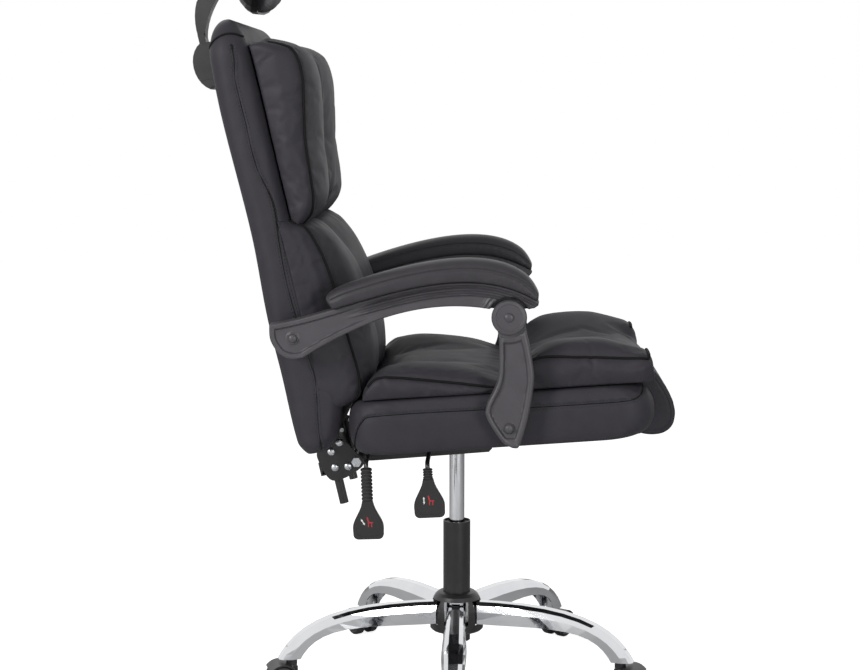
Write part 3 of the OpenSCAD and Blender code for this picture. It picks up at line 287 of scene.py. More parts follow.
def set_camera():
    yaw, pitch = math.radians(CAMERA_YAW), math.radians(CAMERA_PITCH)
    look = Vector((-math.sin(yaw) * math.cos(pitch), math.cos(yaw) * math.cos(pitch), -math.sin(pitch)))
    right = Vector((math.cos(yaw), math.sin(yaw), 0))
    up = right.cross(look)
    camera = bpy.data.objects.new("camera", bpy.data.cameras.new("camera"))
    camera.data.sensor_width = SENSOR_MM
    camera.data.lens = FOCAL_PIXELS * SENSOR_MM / PICTURE_WIDTH
    camera.data.clip_end = 50
    rows = [(right[k], up[k], -look[k], CAMERA_PLACE[k]) for k in range(3)]
    camera.matrix_world = Matrix(rows + [(0, 0, 0, 1)])
    scene.collection.objects.link(camera)
    scene.camera = camera


set_camera()


# Materials

def linear(code):
    """An sRGB hex colour as the linear values that a shader takes."""
    channels = [int(code[i:i + 2], 16) / 255 for i in (1, 3, 5)]
    return tuple(c / 12.92 if c <= 0.04045 else ((c + 0.055) / 1.055)**2.4 for c in channels) + (1.0,)


WHITE = linear("#ffffff")


def add(tree, kind, sockets=None, **settings):
    """Adds a node with its settings. Its sockets take values, or links from other nodes' outputs."""
    node = tree.nodes.new(kind)
    for name, value in settings.items():
        setattr(node, name, value)
    for name, value in (sockets or {}).items():
        if isinstance(value, bpy.types.NodeSocket):
            tree.links.new(value, node.inputs[name])
        else:
            node.inputs[name].default_value = value
    return node


def surface(name, grain_mm, grain_height, mottle_mm, mottle_height, tones, rough, cells=False, **shader):
    """A finish with a fine grain and a broader unevenness, both sized in millimetres.

    tones are two sRGB colours that it drifts between, and rough the two roughnesses that go with them.
    """
    material = bpy.data.materials.new(name)
    material.use_nodes = True
    tree = material.node_tree
    tree.nodes.clear()
    place = add(tree, "ShaderNodeTexCoord").outputs["Object"]
    fine_scale, broad_scale = 1000 / grain_mm, 1000 / mottle_mm
    if cells:
        grain = add(tree, "ShaderNodeTexVoronoi", {"Vector": place, "Scale": fine_scale}).outputs["Distance"]
    else:
        grain = add(tree, "ShaderNodeTexNoise", {"Vector": place, "Scale": fine_scale, "Detail": 2.0})
        grain = grain.outputs["Fac"]
    mottle = add(tree, "ShaderNodeTexNoise", {"Vector": place, "Scale": broad_scale, "Detail": 4.0,
                                              "Roughness": 0.55}).outputs["Fac"]
    drift = {"Value": mottle, "From Min": 0.3, "From Max": 0.7}
    spread = add(tree, "ShaderNodeMapRange", drift).outputs["Result"]
    colour = add(tree, "ShaderNodeMix", {0: spread, 6: linear(tones[0]), 7: linear(tones[1])},
                 data_type="RGBA").outputs[2]
    drift.update({"To Min": rough[0], "To Max": rough[1]})
    dull = add(tree, "ShaderNodeMapRange", drift).outputs["Result"]
    broad = add(tree, "ShaderNodeBump", {"Height": mottle, "Distance": mottle_height * 0.001,
                                         "Strength": 1.0}).outputs["Normal"]
    fine = add(tree, "ShaderNodeBump", {"Height": grain, "Distance": grain_height * 0.001, "Strength": 1.0,
                                        "Normal": broad})
    bsdf = add(tree, "ShaderNodeBsdfPrincipled", {"Base Color": colour, "Roughness": dull,
                                                  "Normal": fine.outputs["Normal"], **shader})
    add(tree, "ShaderNodeOutputMaterial", {"Surface": bsdf.outputs["BSDF"]})
    return material


# Polyurethane leather on foam: embossed pebble grain under a satin top coat, dark with soft broad highlights
LEATHER = surface("pu_leather", 1.3, 0.05, 34, 0.10, ("#312f34", "#353338"), (0.50, 0.58), cells=True,
                  **{"Specular IOR Level": 0.15})
# The same leather drawn tight over the arm pads, a little more worn and matte
PAD_LEATHER = surface("pu_leather_arm_pad", 1.2, 0.06, 20, 0.12, ("#302e32", "#353337"), (0.46, 0.54),
                      cells=True, **{"Specular IOR Level": 0.26})
# The same leather wound round a cord, and duller. Its colour is painted shade: much darker than the leather,
# to stand for the shadow of its seam
PIPING = surface("pu_leather_piping", 1.0, 0.06, 12, 0.1, ("#0e0e0f", "#121213"), (0.62, 0.70), cells=True,
                 **{"Specular IOR Level": 0.12})
# Polyester sewing thread, spun and dull; a shade darker than the leather, so that the stitches show
THREAD = surface("polyester_thread", 0.5, 0.05, 6, 0.02, ("#1b1a1c", "#222123"), (0.6, 0.7))
# Spunbonded polypropylene under the seat: fibrous, dull and black
DUST_CLOTH = surface("spunbond_dust_cover", 0.8, 0.12, 9, 0.3, ("#1b1a1c", "#222123"), (0.85, 0.92))
# Glass-filled nylon, moulded in a spark-eroded tool: charcoal, with a fine grain and no sharp reflections
ARM_NYLON = surface("glass_filled_nylon", 0.9, 0.05, 30, 0.06, ("#403e42", "#454347"), (0.42, 0.50),
                    **{"Specular IOR Level": 0.4})
# Polypropylene with a smoother mould face, on the castor hoods, the hub cover and the headrest shell
POLYPROPYLENE = surface("polypropylene", 1.2, 0.03, 22, 0.05, ("#1c1b1d", "#222123"), (0.34, 0.42))
# Polyurethane castor tread, slightly chalky
TREAD = surface("polyurethane_tread", 0.8, 0.03, 12, 0.04, ("#161517", "#1c1b1d"), (0.48, 0.58))
# Gloss ABS paddles: deep black with clear highlights
ABS = surface("gloss_abs", 2.0, 0.004, 30, 0.02, ("#121113", "#161517"), (0.14, 0.18), **{"Coat Weight": 0.3})
# Natural rubber sleeves, matte with a little bloom
RUBBER = surface("rubber_sleeve", 0.7, 0.04, 8, 0.05, ("#1a191a", "#232223"), (0.62, 0.74))
# Epoxy powder coat on steel: black with fine orange peel
POWDER_COAT = surface("powder_coated_steel", 1.6, 0.03, 25, 0.03, ("#19181a", "#1f1e20"), (0.30, 0.38))
# Bright chrome plate over pressed steel: a mirror, with slow waves left by the press
CHROME = surface("chrome_plate", 3.0, 0.0006, 60, 0.10, ("#d6d8db", "#dedfe1"), (0.05, 0.09), Metallic=1.0)
# Hard chrome on the ground gas tube: finely polished round its axis
GROUND_CHROME = surface("ground_chrome", 0.8, 0.002, 40, 0.01, ("#cfd0d3", "#d6d7da"), (0.12, 0.17),
                        Metallic=1.0)
# Zinc-plated fasteners: pale, slightly blue and cloudy
ZINC = surface("zinc_plate", 1.0, 0.008, 6, 0.02, ("#b9bcc0", "#c9cbcf"), (0.24, 0.36), Metallic=1.0)
# Plywood stained black, so that its edges stay dark where the cover is stapled over them
PLYWOOD = surface("black_stained_plywood", 1.5, 0.08, 18, 0.1, ("#242225", "#2a282b"), (0.6, 0.7))
# Screen-printed signs on the paddles: thin matt ink
RED_INK = surface("red_ink", 0.6, 0.005, 5, 0.01, ("#a02226", "#a8282c"), (0.45, 0.5))
WHITE_INK = surface("white_ink", 0.6, 0.005, 5, 0.01, ("#d8d8d6", "#e0e0de"), (0.45, 0.5))


# Studio: white world and floor, two soft lamps on the camera's side and a weak one behind the chair

AMBIENT = 0.16
FLOOR_LIFT, FLOOR_HALF, FLOOR_BELOW = 0.88, 9000, 0.4


def set_world():
    world = bpy.data.worlds.new("studio")
    scene.world = world
    world.use_nodes = True
    tree = world.node_tree
    tree.nodes.clear()
    rays = add(tree, "ShaderNodeLightPath").outputs
    seen = add(tree, "ShaderNodeMath", {0: rays["Is Camera Ray"], 1: rays["Is Transmission Ray"]},
               operation="MAXIMUM").outputs[0]
    seen = add(tree, "ShaderNodeMath", {0: seen, 1: rays["Is Glossy Ray"]}, operation="MAXIMUM").outputs[0]
    soft = add(tree, "ShaderNodeBackground", {"Color": WHITE, "Strength": AMBIENT})
    white = add(tree, "ShaderNodeBackground", {"Color": WHITE, "Strength": 1.0})
    both = add(tree, "ShaderNodeMixShader", {0: seen, 1: soft.outputs[0], 2: white.outputs[0]})
    add(tree, "ShaderNodeOutputWorld", {"Surface": both.outputs[0]})


def lamp(name, place, target, width, height, power):
    """A rectangle of light, with its place, target and size in metres and its power in watts."""
    data = bpy.data.lights.new(name, "AREA")
    data.shape = "RECTANGLE"
    data.size, data.size_y, data.energy = width, height, power
    holder = bpy.data.objects.new(name, data)
    holder.location = place
    holder.rotation_euler = (Vector(target) - Vector(place)).to_track_quat("-Z", "Y").to_euler()
    scene.collection.objects.link(holder)


def set_floor():
    """A plain white floor. What the camera sees of it is lifted to white where no shadow falls."""
    material = bpy.data.materials.new("studio_floor_paint")
    material.use_nodes = True
    tree = material.node_tree
    tree.nodes.clear()
    rays = add(tree, "ShaderNodeLightPath").outputs
    paint = add(tree, "ShaderNodeBsdfDiffuse", {"Color": linear("#f1f1f1")})
    lift = add(tree, "ShaderNodeEmission", {"Color": WHITE, "Strength": FLOOR_LIFT})
    none = add(tree, "ShaderNodeEmission", {"Strength": 0.0})
    seen = add(tree, "ShaderNodeMixShader", {0: rays["Is Camera Ray"], 1: none.outputs[0],
                                             2: lift.outputs[0]})
    both = add(tree, "ShaderNodeAddShader", {0: paint.outputs[0], 1: seen.outputs[0]})
    add(tree, "ShaderNodeOutputMaterial", {"Surface": both.outputs[0]})
    corners = [(x * FLOOR_HALF, y * FLOOR_HALF, -FLOOR_BELOW)
               for x, y in ((-1, -1), (1, -1), (1, 1), (-1, 1))]
    floor = make("studio_floor", corners, [(0, 1, 2, 3)], material)


set_world()
set_floor()
lamp("key", (-2.3, -2.5, 1.8), (0.0, 0.0, 0.7), 0.9, 1.2, 80)
lamp("fill", (1.7, -2.9, 1.0), (0.0, 0.0, 0.6), 0.9, 1.4, 38)
lamp("rim", (-1.2, 1.8, 2.4), (0.0, 0.0, 0.7), 0.9, 0.9, 6)


# CAD nodes that keep their shape get their finish

FINISHES = {
    "castor_stems": ZINC, "castor_hood": POLYPROPYLENE, "castor_axle": ZINC, "castor_wheel": TREAD,
    "star_base": CHROME, "hub_cover": POLYPROPYLENE, "column_tube": POWDER_COAT, "column_bush": POLYPROPYLENE,
    "piston_rod": GROUND_CHROME, "pressure_tube": GROUND_CHROME, "seat_mechanism": POWDER_COAT,
    "mechanism_bolts": ZINC, "seat_board": PLYWOOD, "recline_axle": ZINC, "lift_lever_rod": POWDER_COAT,
    "recline_lever_rod": POWDER_COAT, "lift_lever_sleeve": RUBBER, "recline_lever_sleeve": RUBBER,
    "lift_lever_paddle": ABS, "recline_lever_paddle": ABS, "back_bracket": POWDER_COAT, "bracket_bolts": ZINC,
    "back_frame": POWDER_COAT, "headrest_mount": POLYPROPYLENE, "headrest_arm": POLYPROPYLENE,
    "headrest_pin": ZINC, "headrest_shell": POLYPROPYLENE, "arm_frame": ARM_NYLON, "arm_post": ARM_NYLON,
    "elbow_cap": ARM_NYLON, "arm_bolts": ARM_NYLON, "post_bolts": ARM_NYLON, "arm_pad": PAD_LEATHER,
    "seat_box": LEATHER, "seat_top_pad": LEATHER, "back_cushion": LEATHER, "upper_pillow": LEATHER,
    "lumbar_pillow": LEATHER, "headrest_cushion": LEATHER,
}

for node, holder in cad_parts.items():
    kind = max((name for name in FINISHES if node.startswith(name)), key=len)
    if not holder.material_slots:
        holder.data.materials.append(FINISHES[kind])
    for place in holder.material_slots:
        place.material = FINISHES[kind]


# Leather work: panels as grids of points that are puffed by cloth simulation, then folded at their seams

def normals_of(points):
    """Unit normals of a grid whose rings run round the piece, pointing out of it."""
    p = np.asarray(points, float)
    across = np.roll(p, -1, 1) - np.roll(p, 1, 1)
    along = np.gradient(p, axis=0)
    n = np.cross(along, across)
    n /= np.linalg.norm(n, axis=-1)[..., None] + 1e-9
    middle = p.mean(1, keepdims=True)
    if ((p - middle) * n).sum() < 0:
        n = -n
    return n


def pucker(points, normals, line, height, reach, pitch, seed, lean=0.0, side=None):
    """Small gathers that run away from a seam: waves along the line that fade with the distance to it."""
    d, s = distance(points, line)
    phase = s + lean * d + pitch * 0.9 * wobble(s, seed, pitch * 2.1)
    wave = np.cos(2 * math.pi * phase / pitch) * (0.55 + 0.45 * wobble(s, seed + 1, pitch * 3.0))
    fade = smooth(d, 0, reach * 0.25) * np.exp(-d / reach)
    if side is not None:
        fade = fade * side
    return points + normals * (height * wave * fade)[..., None]


def crease(points, normals, line, depth, width, lip=0.35):
    """A fold pressed in along a line, with a soft lip on each side, that runs out at its ends."""
    d, s = distance(points, line)
    total = np.linalg.norm(np.diff(np.asarray(line, float), axis=0), axis=1).sum()
    run_out = np.sqrt(np.clip(np.minimum(s, total - s) / (0.35 * total), 0, 1))
    press = -np.exp(-(d / width)**2) + lip * np.exp(-((d - 2.0 * width) / (1.1 * width))**2)
    near_ends = np.where(d < 4 * width, 1.0, 0.0)
    return points + normals * (depth * press * run_out * near_ends)[..., None]


def groove(points, normals, line, depth, width):
    """A seam pulled in evenly along a line."""
    d, _ = distance(points, line)
    return points - normals * (depth * np.exp(-(d / width)**2))[..., None]


def folded(points, normals, folds, place, sides=(1,)):
    """Folds pressed in on the given sides. Each has points in the cushion's frame, a depth and a width."""
    for side in sides:
        for line, depth, width in folds:
            at = spline([[a, side * b, c] for a, b, c in line], 8)
            points = crease(points, normals, place(at[:, 0], at[:, 1], at[:, 2]), depth, width)
    return points


def beside_piping(points, front, gusset, side, reach, spare):
    """1 at the columns beside the piping: reach of the front's, and the gusset's less its last few."""
    strip = np.zeros(points.shape[1])
    if side:
        strip[front - reach:front + gusset - spare] = 1
    else:
        strip[:reach] = 1
        strip[spare - gusset:] = 1
    return np.broadcast_to(strip, points.shape[:2])


PIPING_RADIUS, PIPING_PROUD, PIPING_DEPTH, PIPING_WIDTH = 2.4, 1.3, 2.4, 3.6
JOINT_RADIUS, JOINT_SUNK, STITCH_ASIDE, STITCH_SUNK = 0.9, 1.7, 4.0, 0.3


def sewn_edges(points, normals, rows, front):
    """The skin pulled in along its two piped edges, and the places just over it, where the piping lies."""
    for side in (0, front - 1):
        points = groove(points, normals, points[rows, side], PIPING_DEPTH, PIPING_WIDTH)
    return points, points + normals * PIPING_PROUD


CLOTHS = []
CLOTH_FRAMES, CLOTH_PRESSURE, CLOTH_GROWTH = 18, 3.0, 0.01


def puff(name, points, pins, cap):
    """Registers a grid of points for the cloth simulation.

    pins is 1 where a seam or the frame holds it, and cap is about how far a point may move.
    """
    CLOTHS.append({"name": name, "points": np.asarray(points, float), "pins": pins, "cap": cap})


def simulate():
    """Puffs every registered panel at once, and returns where its points come to rest, by name."""
    for c in CLOTHS:
        rows, cols = c["points"].shape[:2]
        mesh = bpy.data.meshes.new(c["name"] + "_cloth")
        flat = (c["points"].reshape(-1, 3) * 0.001).tolist()
        mesh.from_pydata(flat, [], grid_faces(rows, cols, wrap_cols=True))
        outwards = normals_of(c["points"]).reshape(-1, 3)
        given = np.zeros(len(mesh.vertices) * 3)
        mesh.vertex_normals.foreach_get("vector", given)
        if (given.reshape(-1, 3) * outwards).sum() < 0:
            mesh.flip_normals()
        c["object"] = bpy.data.objects.new(c["name"] + "_cloth", mesh)
        scene.collection.objects.link(c["object"])
        group = c["object"].vertex_groups.new(name="held")
        weights = np.broadcast_to(c["pins"], (rows, cols)).ravel()
        for value in np.unique(weights):
            group.add([int(i) for i in np.nonzero(weights == value)[0]], float(value), "REPLACE")
        cloth = c["object"].modifiers.new("cloth", "CLOTH").settings
        cloth.quality = 6
        cloth.mass = 0.4
        cloth.air_damping = 4.0
        cloth.tension_stiffness = cloth.compression_stiffness = 25
        cloth.shear_stiffness = 10
        cloth.bending_stiffness = 0.6
        cloth.tension_damping = cloth.compression_damping = 15
        cloth.vertex_group_mass = "held"
        cloth.shrink_min = -CLOTH_GROWTH
        cloth.use_pressure = True
        cloth.uniform_pressure_force = CLOTH_PRESSURE
        cloth.effector_weights.gravity = 0
    for step in range(1, CLOTH_FRAMES + 1):
        scene.frame_set(step)
    graph = bpy.context.evaluated_depsgraph_get()
    rest = {}
    for c in CLOTHS:
        found = c["object"].evaluated_get(graph).data
        moved = np.zeros(len(found.vertices) * 3)
        found.vertices.foreach_get("co", moved)
        shift = moved.reshape(c["points"].shape) * 1000 - c["points"]
        length = np.linalg.norm(shift, axis=-1, keepdims=True) + 1e-9
        rest[c["name"]] = c["points"] + shift / length * c["cap"] * np.tanh(length / c["cap"])
    for c in CLOTHS:
        bpy.data.objects.remove(c["object"])
    scene.frame_set(1)
    return rest


def finish_cushion(name, rings, body, node, material=LEATHER, slot="upholstery"):
    """The skin of a cushion, with one subdivision, riding on its body in place of a CAD node."""
    piece = make(name, *closed_rings(rings), material)
    rounder = piece.modifiers.new("rounder", "SUBSURF")
    rounder.levels = rounder.render_levels = 1
    settle(piece, body, slot, node)


# Piping, and stitches laid along a line by Geometry Nodes

def piping(name, lines, body, radius=PIPING_RADIUS, closed=False):
    """Leather cord in the seams, as one mesh."""
    points, faces = gather([tube(line, radius, 8, closed) for line in lines])
    settle(make(name, points, faces, PIPING), body, "upholstery")


def stitch_tree():
    """Node tree that lays short threads along curves, with the pitch and the thread's size as its inputs."""
    tree = bpy.data.node_groups.new("stitches", "GeometryNodeTree")
    sockets = {}
    for name, kind, value in (("Geometry", "NodeSocketGeometry", None), ("Pitch", "NodeSocketFloat", 0.0045),
                              ("Length", "NodeSocketFloat", 0.0032), ("Thickness", "NodeSocketFloat", 0.0004),
                              ("Thread", "NodeSocketMaterial", None)):
        socket = tree.interface.new_socket(name, in_out="INPUT", socket_type=kind)
        if value is not None:
            socket.default_value = value
        sockets[name] = socket.identifier
    tree.interface.new_socket("Geometry", in_out="OUTPUT", socket_type="NodeSocketGeometry")
    given = add(tree, "NodeGroupInput").outputs
    lines = add(tree, "GeometryNodeMeshToCurve", {"Mesh": given["Geometry"]}).outputs[0]
    spots = add(tree, "GeometryNodeCurveToPoints", {"Curve": lines, "Length": given["Pitch"]}, mode="LENGTH")
    around = add(tree, "FunctionNodeAlignRotationToVector", {"Vector": spots.outputs["Tangent"]}, axis="Z")
    thread = add(tree, "GeometryNodeMeshUVSphere", {"Segments": 6, "Rings": 5, "Radius": 1.0}).outputs["Mesh"]
    half = add(tree, "ShaderNodeMath", {0: given["Length"], 1: 0.5}, operation="MULTIPLY").outputs[0]
    size = add(tree, "ShaderNodeCombineXYZ", {"X": given["Thickness"], "Y": given["Thickness"], "Z": half})
    laid = add(tree, "GeometryNodeInstanceOnPoints", {
        "Points": spots.outputs["Points"], "Instance": thread, "Rotation": around.outputs[0],
        "Scale": size.outputs[0]}).outputs[0]
    real = add(tree, "GeometryNodeRealizeInstances", {"Geometry": laid}).outputs[0]
    dyed = add(tree, "GeometryNodeSetMaterial", {"Geometry": real, "Material": given["Thread"]}).outputs[0]
    done = add(tree, "NodeGroupOutput")
    tree.links.new(dyed, done.inputs["Geometry"])
    return tree, sockets


STITCH_TREE, STITCH_SOCKETS = stitch_tree()


def stitches(name, lines, body, slot="upholstery", pitch=6.0, length=4.4, thickness=0.75):
    """Threads along lines that lie on a surface, as one mesh on one body."""
    points, edges, first = [], [], 0
    for line in lines:
        points += (np.asarray(line) * 0.001).tolist()
        edges += [(first + i, first + i + 1) for i in range(len(line) - 1)]
        first += len(line)
    mesh = bpy.data.meshes.new(name + "_lines")
    mesh.from_pydata(points, edges, [])
    holder = bpy.data.objects.new(name + "_lines", mesh)
    scene.collection.objects.link(holder)
    layer = holder.modifiers.new("stitches", "NODES")
    layer.node_group = STITCH_TREE
    for key, value in (("Pitch", pitch * 0.001), ("Length", length * 0.001), ("Thickness", thickness * 0.001),
                       ("Thread", THREAD)):
        layer[STITCH_SOCKETS[key]] = value
    graph = bpy.context.evaluated_depsgraph_get()
    graph.update()
    done = bpy.data.meshes.new_from_object(holder.evaluated_get(graph))
    bpy.data.objects.remove(holder)
    for polygon in done.polygons:
        polygon.use_smooth = True
    piece = bpy.data.objects.new(name, done)
    scene.collection.objects.link(piece)
    settle(piece, body, slot)


def double_seam(name, seams, body, more=()):
    """Joints between panels, right side first: a cord in each groove, made dark by the piping's painted
    shade, and stitches on both its sides.
    """
    lines, joints = [], []
    for s, seam in zip((-1, 1), seams):
        along = np.gradient(seam, axis=0)
        along /= np.linalg.norm(along, axis=1)[:, None]
        face = np.array([0, float(s), 0])
        sideways = np.cross(along, face)
        joints.append(seam - face * JOINT_SUNK)
        lines += [seam + sideways * d - face * STITCH_SUNK for d in (-STITCH_ASIDE, STITCH_ASIDE)]
    piping(name + "_joint", joints, body, JOINT_RADIUS)
    stitches(name + "_stitches", lines + list(more), body)


# Seat pad: a dish between two pairs of side bolsters, over the seat box

PAD_BASE, PAD_HALF, PAD_REAR, PAD_VALLEY = 92.6, 247.0, 150.0, 102
PAD_MID = [[-150, 24], [-100, 30], [0, 29], [60, 23], [100, 19], [140, 31], [200, 40], [260, 42], [300, 42],
           [345, 40]]
PAD_CREST = [[-150, 42], [-112, 49], [-57, 51], [35, 35], [80, 20], [104, 11], [125, 42], [157, 67],
             [191, 75], [260, 74], [300, 63], [345, 48]]
PAD_PIPE = [[-150, 34], [-118, 41], [-21, 28], [74, 12], [104, 6], [122, 35], [147, 55], [223, 52], [300, 45],
            [345, 42]]
PAD_FOLDS = [
    ([[240, 247, 150], [242, 253, 140], [246, 256, 124], [240, 255, 113]], 5.0, 4.0),
    ([[252, 250, 136], [256, 256, 122], [250, 256, 108]], 3.0, 4.0),
    ([[-116, 240, 136], [-112, 250, 126], [-104, 254, 116]], 2.5, 3.5),
    ([[338, 238, 133], [322, 251, 126], [300, 254, 121]], 2.0, 4.0),
    ([[236, 215, 168], [238, 226, 166], [243, 240, 154], [246, 246, 148]], 2.4, 3.5),
    ([[-60, 252, 117], [20, 252, 111], [84, 248, 103]], 1.6, 7.0),
    ([[40, 120, 117], [88, 150, 114], [118, 190, 116]], 1.8, 8.0),
]
ROLL_HALF = 170.0


def seat_pad_grid():
    """Rings round the pad, from the piping on its left over the top to the right, and back underneath."""
    rear = [(-PAD_REAR + 40 * (1 - math.cos(a)), math.sin(a)**0.8, 0.0)
            for a in np.radians(np.arange(8, 90, 9))]
    top = [(u, 1.0, 0.0) for u in np.arange(-110, 334, 4.5)]
    front = [(337 + 7 * math.sin(min(s, 0.5) * math.pi) + 3.0 * abs(math.sin(2.2 * math.pi * s)), 1 - s, s)
             for s in np.linspace(0.04, 0.96, 13)]
    rows = np.array(rear + top + front)
    u, f, down = rows[:, 0:1], rows[:, 1:2], rows[:, 2:3]
    mid, crest, pipe = curve(PAD_MID, u), curve(PAD_CREST, u), curve(PAD_PIPE, u)
    ease = np.where(down > 0, 1, f)
    crest, pipe = mid + (crest - mid) * ease, mid + (pipe - mid) * ease
    half = PAD_HALF - 12 * (1 - f) * (u < 0) - 12 * smooth(u, 322, 352)
    v = np.concatenate([np.linspace(1, 0.8, 16), np.linspace(0.8, -0.8, 66)[1:-1],
                        np.linspace(-0.8, -1, 16)])
    a = np.abs(v)
    dish = mid + (crest - mid) * (0.5 - 0.5 * np.cos(math.pi * np.clip((a - 0.3) / 0.53, 0, 1)))
    side = pipe + (crest - pipe) * np.sqrt(np.clip(1 - (np.clip(a - 0.83, 0, 1) / 0.17)**2, 0, 1))
    height = np.where(a < 0.83, dish, side) - 17 * smooth(u, 296, 334) * (1 - smooth(a, 0.60, 0.74))
    k = np.linspace(0, 1, 13)[1:]
    bulge = np.sin(math.pi * k**0.8) * (3.0 + 0.09 * pipe)
    side_y, side_h = half + bulge * np.clip(f, 0.25, 1) - 1.5 * k, pipe * (1 - k)
    under = np.ones_like(u) * np.linspace(-1, 1, 13)[1:-1] * (PAD_HALF - 8)
    y = np.concatenate([half * v, -side_y, under, side_y[:, ::-1]], 1)
    h = np.concatenate([height, side_h, 0 * under, side_h[:, ::-1]], 1) * f
    return at_seat(u + 0 * y, y, PAD_BASE + h), rows, v, side_y.shape[1]


def seat_pad():
    points, rows, v, gusset = seat_pad_grid()
    n = len(v)
    u, down = rows[:, 0], rows[:, 2]
    held = np.zeros(points.shape[:2])
    held[:, [0, n - 1]] = 1
    held[:, n + gusset - 1:points.shape[1] - gusset + 1] = 1
    held[0], held[-1] = 1, 1
    held[np.abs(u - PAD_VALLEY) < 3] = 1
    front_edge = int(np.nonzero(down > 0)[0][0])
    held[front_edge, :n] = 1
    puff("seat_pad", points, held, 9)

    def finish(p):
        out = normals_of(p)
        for side in (0, n - 1):
            line = p[:front_edge + 1, side]
            strip = beside_piping(p, n, gusset, side, 12, 2)
            p = pucker(p, out, line, 0.9, 15, 19, 5 + side, 0.5, strip)
            p = pucker(p, out, line, 0.6, 7, 8, 9 + side, -0.3, strip)
        p = folded(p, out, PAD_FOLDS, at_seat, (-1, 1))
        p, proud = sewn_edges(p, out, slice(2, front_edge + 1), n)
        finish_cushion("seat_pad", p, "seat", "seat_top_pad")
        edge = proud[front_edge, :n]
        lines = []
        for side, order in ((0, slice(None)), (n - 1, slice(None, None, -1))):
            across = [point for point in edge[order][:n // 2] if abs(point[1]) > ROLL_HALF - 6]
            lines.append(evenly(np.concatenate([proud[4:front_edge, side], across]), 190))
        piping("seat_pad_piping", lines, "seat")

    return finish


# Roll over the front edge of the seat

ROLL_OUTER = [[268, 122], [276, 130], [290, 134], [305, 134], [322, 128], [342, 112], [358, 93], [371, 71],
              [380, 49], [383.5, 31], [382, 14], [375, 0], [363, -8], [347, -11], [330, -9], [312, -3],
              [300, 2]]
ROLL_MIDDLE = np.array([340.0, 60.0])
# Each end closes in steps: the share of the roll's half width, and how far the outline draws in there
ROLL_END = [(-1, 26), (-1, 12), (-1, 9.5), (-1, 8.2), (-1, 7), (-0.995, 4), (-0.985, 1.2), (-0.97, 0)]
ROLL_FOLDS = [([[330, -150, 128], [334, -40, 125], [331, 60, 128], [333, 150, 126]], 1.2, 9),
              ([[384, -130, 60], [386, 0, 58], [384, 130, 61]], 1.0, 12)]


def box_front(w):
    """How far the seat box's front reaches at a height."""
    return SEAT_FRONT - rounding(w, SEAT_H, 48)


def rounding(w, height, radius, power=2.3):
    """How far a rounded edge draws in at level w."""
    across = np.minimum(np.abs(2 * np.asarray(w, float) / height - 1), 1)
    return radius * (1 - (1 - across**power)**(1 / power))


def front_roll():
    outer = evenly(spline(ROLL_OUTER, 8), 64)
    w = np.linspace(3, 92.5, 22)
    inner = np.stack([box_front(np.minimum(w, 92)) + 1.0, w], -1)
    outline = np.concatenate([outer, inner, [[285, 100], [272, 108]]])
    across = ROLL_END + [(y / ROLL_HALF, 0) for y in np.arange(-160, 161, 8.0)]
    across += [(-y, d) for y, d in ROLL_END[::-1]]
    rings = []
    after = np.roll(outline, -1, 0) - np.roll(outline, 1, 0)
    inwards = np.stack([-after[:, 1], after[:, 0]], -1) / np.linalg.norm(after, axis=1)[:, None]
    if ((ROLL_MIDDLE - outline) * inwards).sum() < 0:
        inwards = -inwards
    for share, d in across:
        bend = 1.6 if 7.5 < d < 9 else 0.0
        ring = outline + inwards * min(d, 14.0)
        if d > 14:
            ring = ring + (ROLL_MIDDLE - ring) * 0.25
        rings.append(at_seat(ring[:, 0], share * (ROLL_HALF - bend), ring[:, 1]))
    p = np.array(rings)
    out = normals_of(p)
    for s in (-1, 1):
        line = at_seat(outer[8:56, 0], s * (ROLL_HALF - 1.0), outer[8:56, 1])
        p = pucker(p, out, line, 0.7, 16, 23, 31 + s, 0.4)
    p = folded(p, out, ROLL_FOLDS, at_seat)
    finish_cushion("seat_roll", p, "seat", "seat_top_pad")


# Seat box: the lower upholstery, with a double-stitched seam round its sides

BOX_PLAN = 52.0
BOX_SEAM = [[-171, 3], [-168, 25], [-160, 47], [-150, 61], [-138, 67.5], [-90, 69], [-43, 69], [60, 67.5],
            [138, 66], [240, 65.5], [290, 66], [312, 69], [324, 77], [328, 85]]
BOX_FOLDS = [
    ([[-128, -258, 84], [-112, -260, 76], [-92, -260, 72]], 1.6, 4.0),
    ([[40, -259, 82], [62, -260, 76], [92, -260, 71]], 1.2, 5.0),
    ([[-60, -258, 84], [-30, -260, 79], [6, -260, 75]], 1.0, 6.0),
    ([[-164, -240, 84], [-160, -246, 76], [-158, -249, 66]], 1.6, 4.0),
    ([[318, -236, 84], [306, -248, 78], [290, -256, 73]], 1.3, 4.0),
]


def box_rear(w):
    return -SEAT_REAR + rounding(w, SEAT_H, 22)


def box_half(w):
    return SEAT_HALF - rounding(w, SEAT_H, 12)


def box_side(u, w):
    """Half the box's width at a place along the seat and a height."""
    a, b, half = box_front(w), box_rear(w), box_half(w)
    over = np.maximum(np.maximum(u - (a - BOX_PLAN), (b + BOX_PLAN) - u), 0)
    return half - BOX_PLAN + np.sqrt(np.maximum(BOX_PLAN**2 - over**2, 0))


def rounded_ring(a, b, half, radius, n):
    """Points spaced evenly round a rectangle with round corners, from b to a along and half to each side."""
    corners = []
    for quarter, (x, y) in enumerate(((a - radius, half - radius), (b + radius, half - radius),
                                      (b + radius, radius - half), (a - radius, radius - half))):
        angles = np.radians(90 * quarter + np.linspace(0, 90, 13))
        corners.append(np.stack([x + radius * np.cos(angles), y + radius * np.sin(angles)], -1))
    ring = np.concatenate(corners + [corners[0][:1]])
    return evenly(ring, n + 1)[:-1]


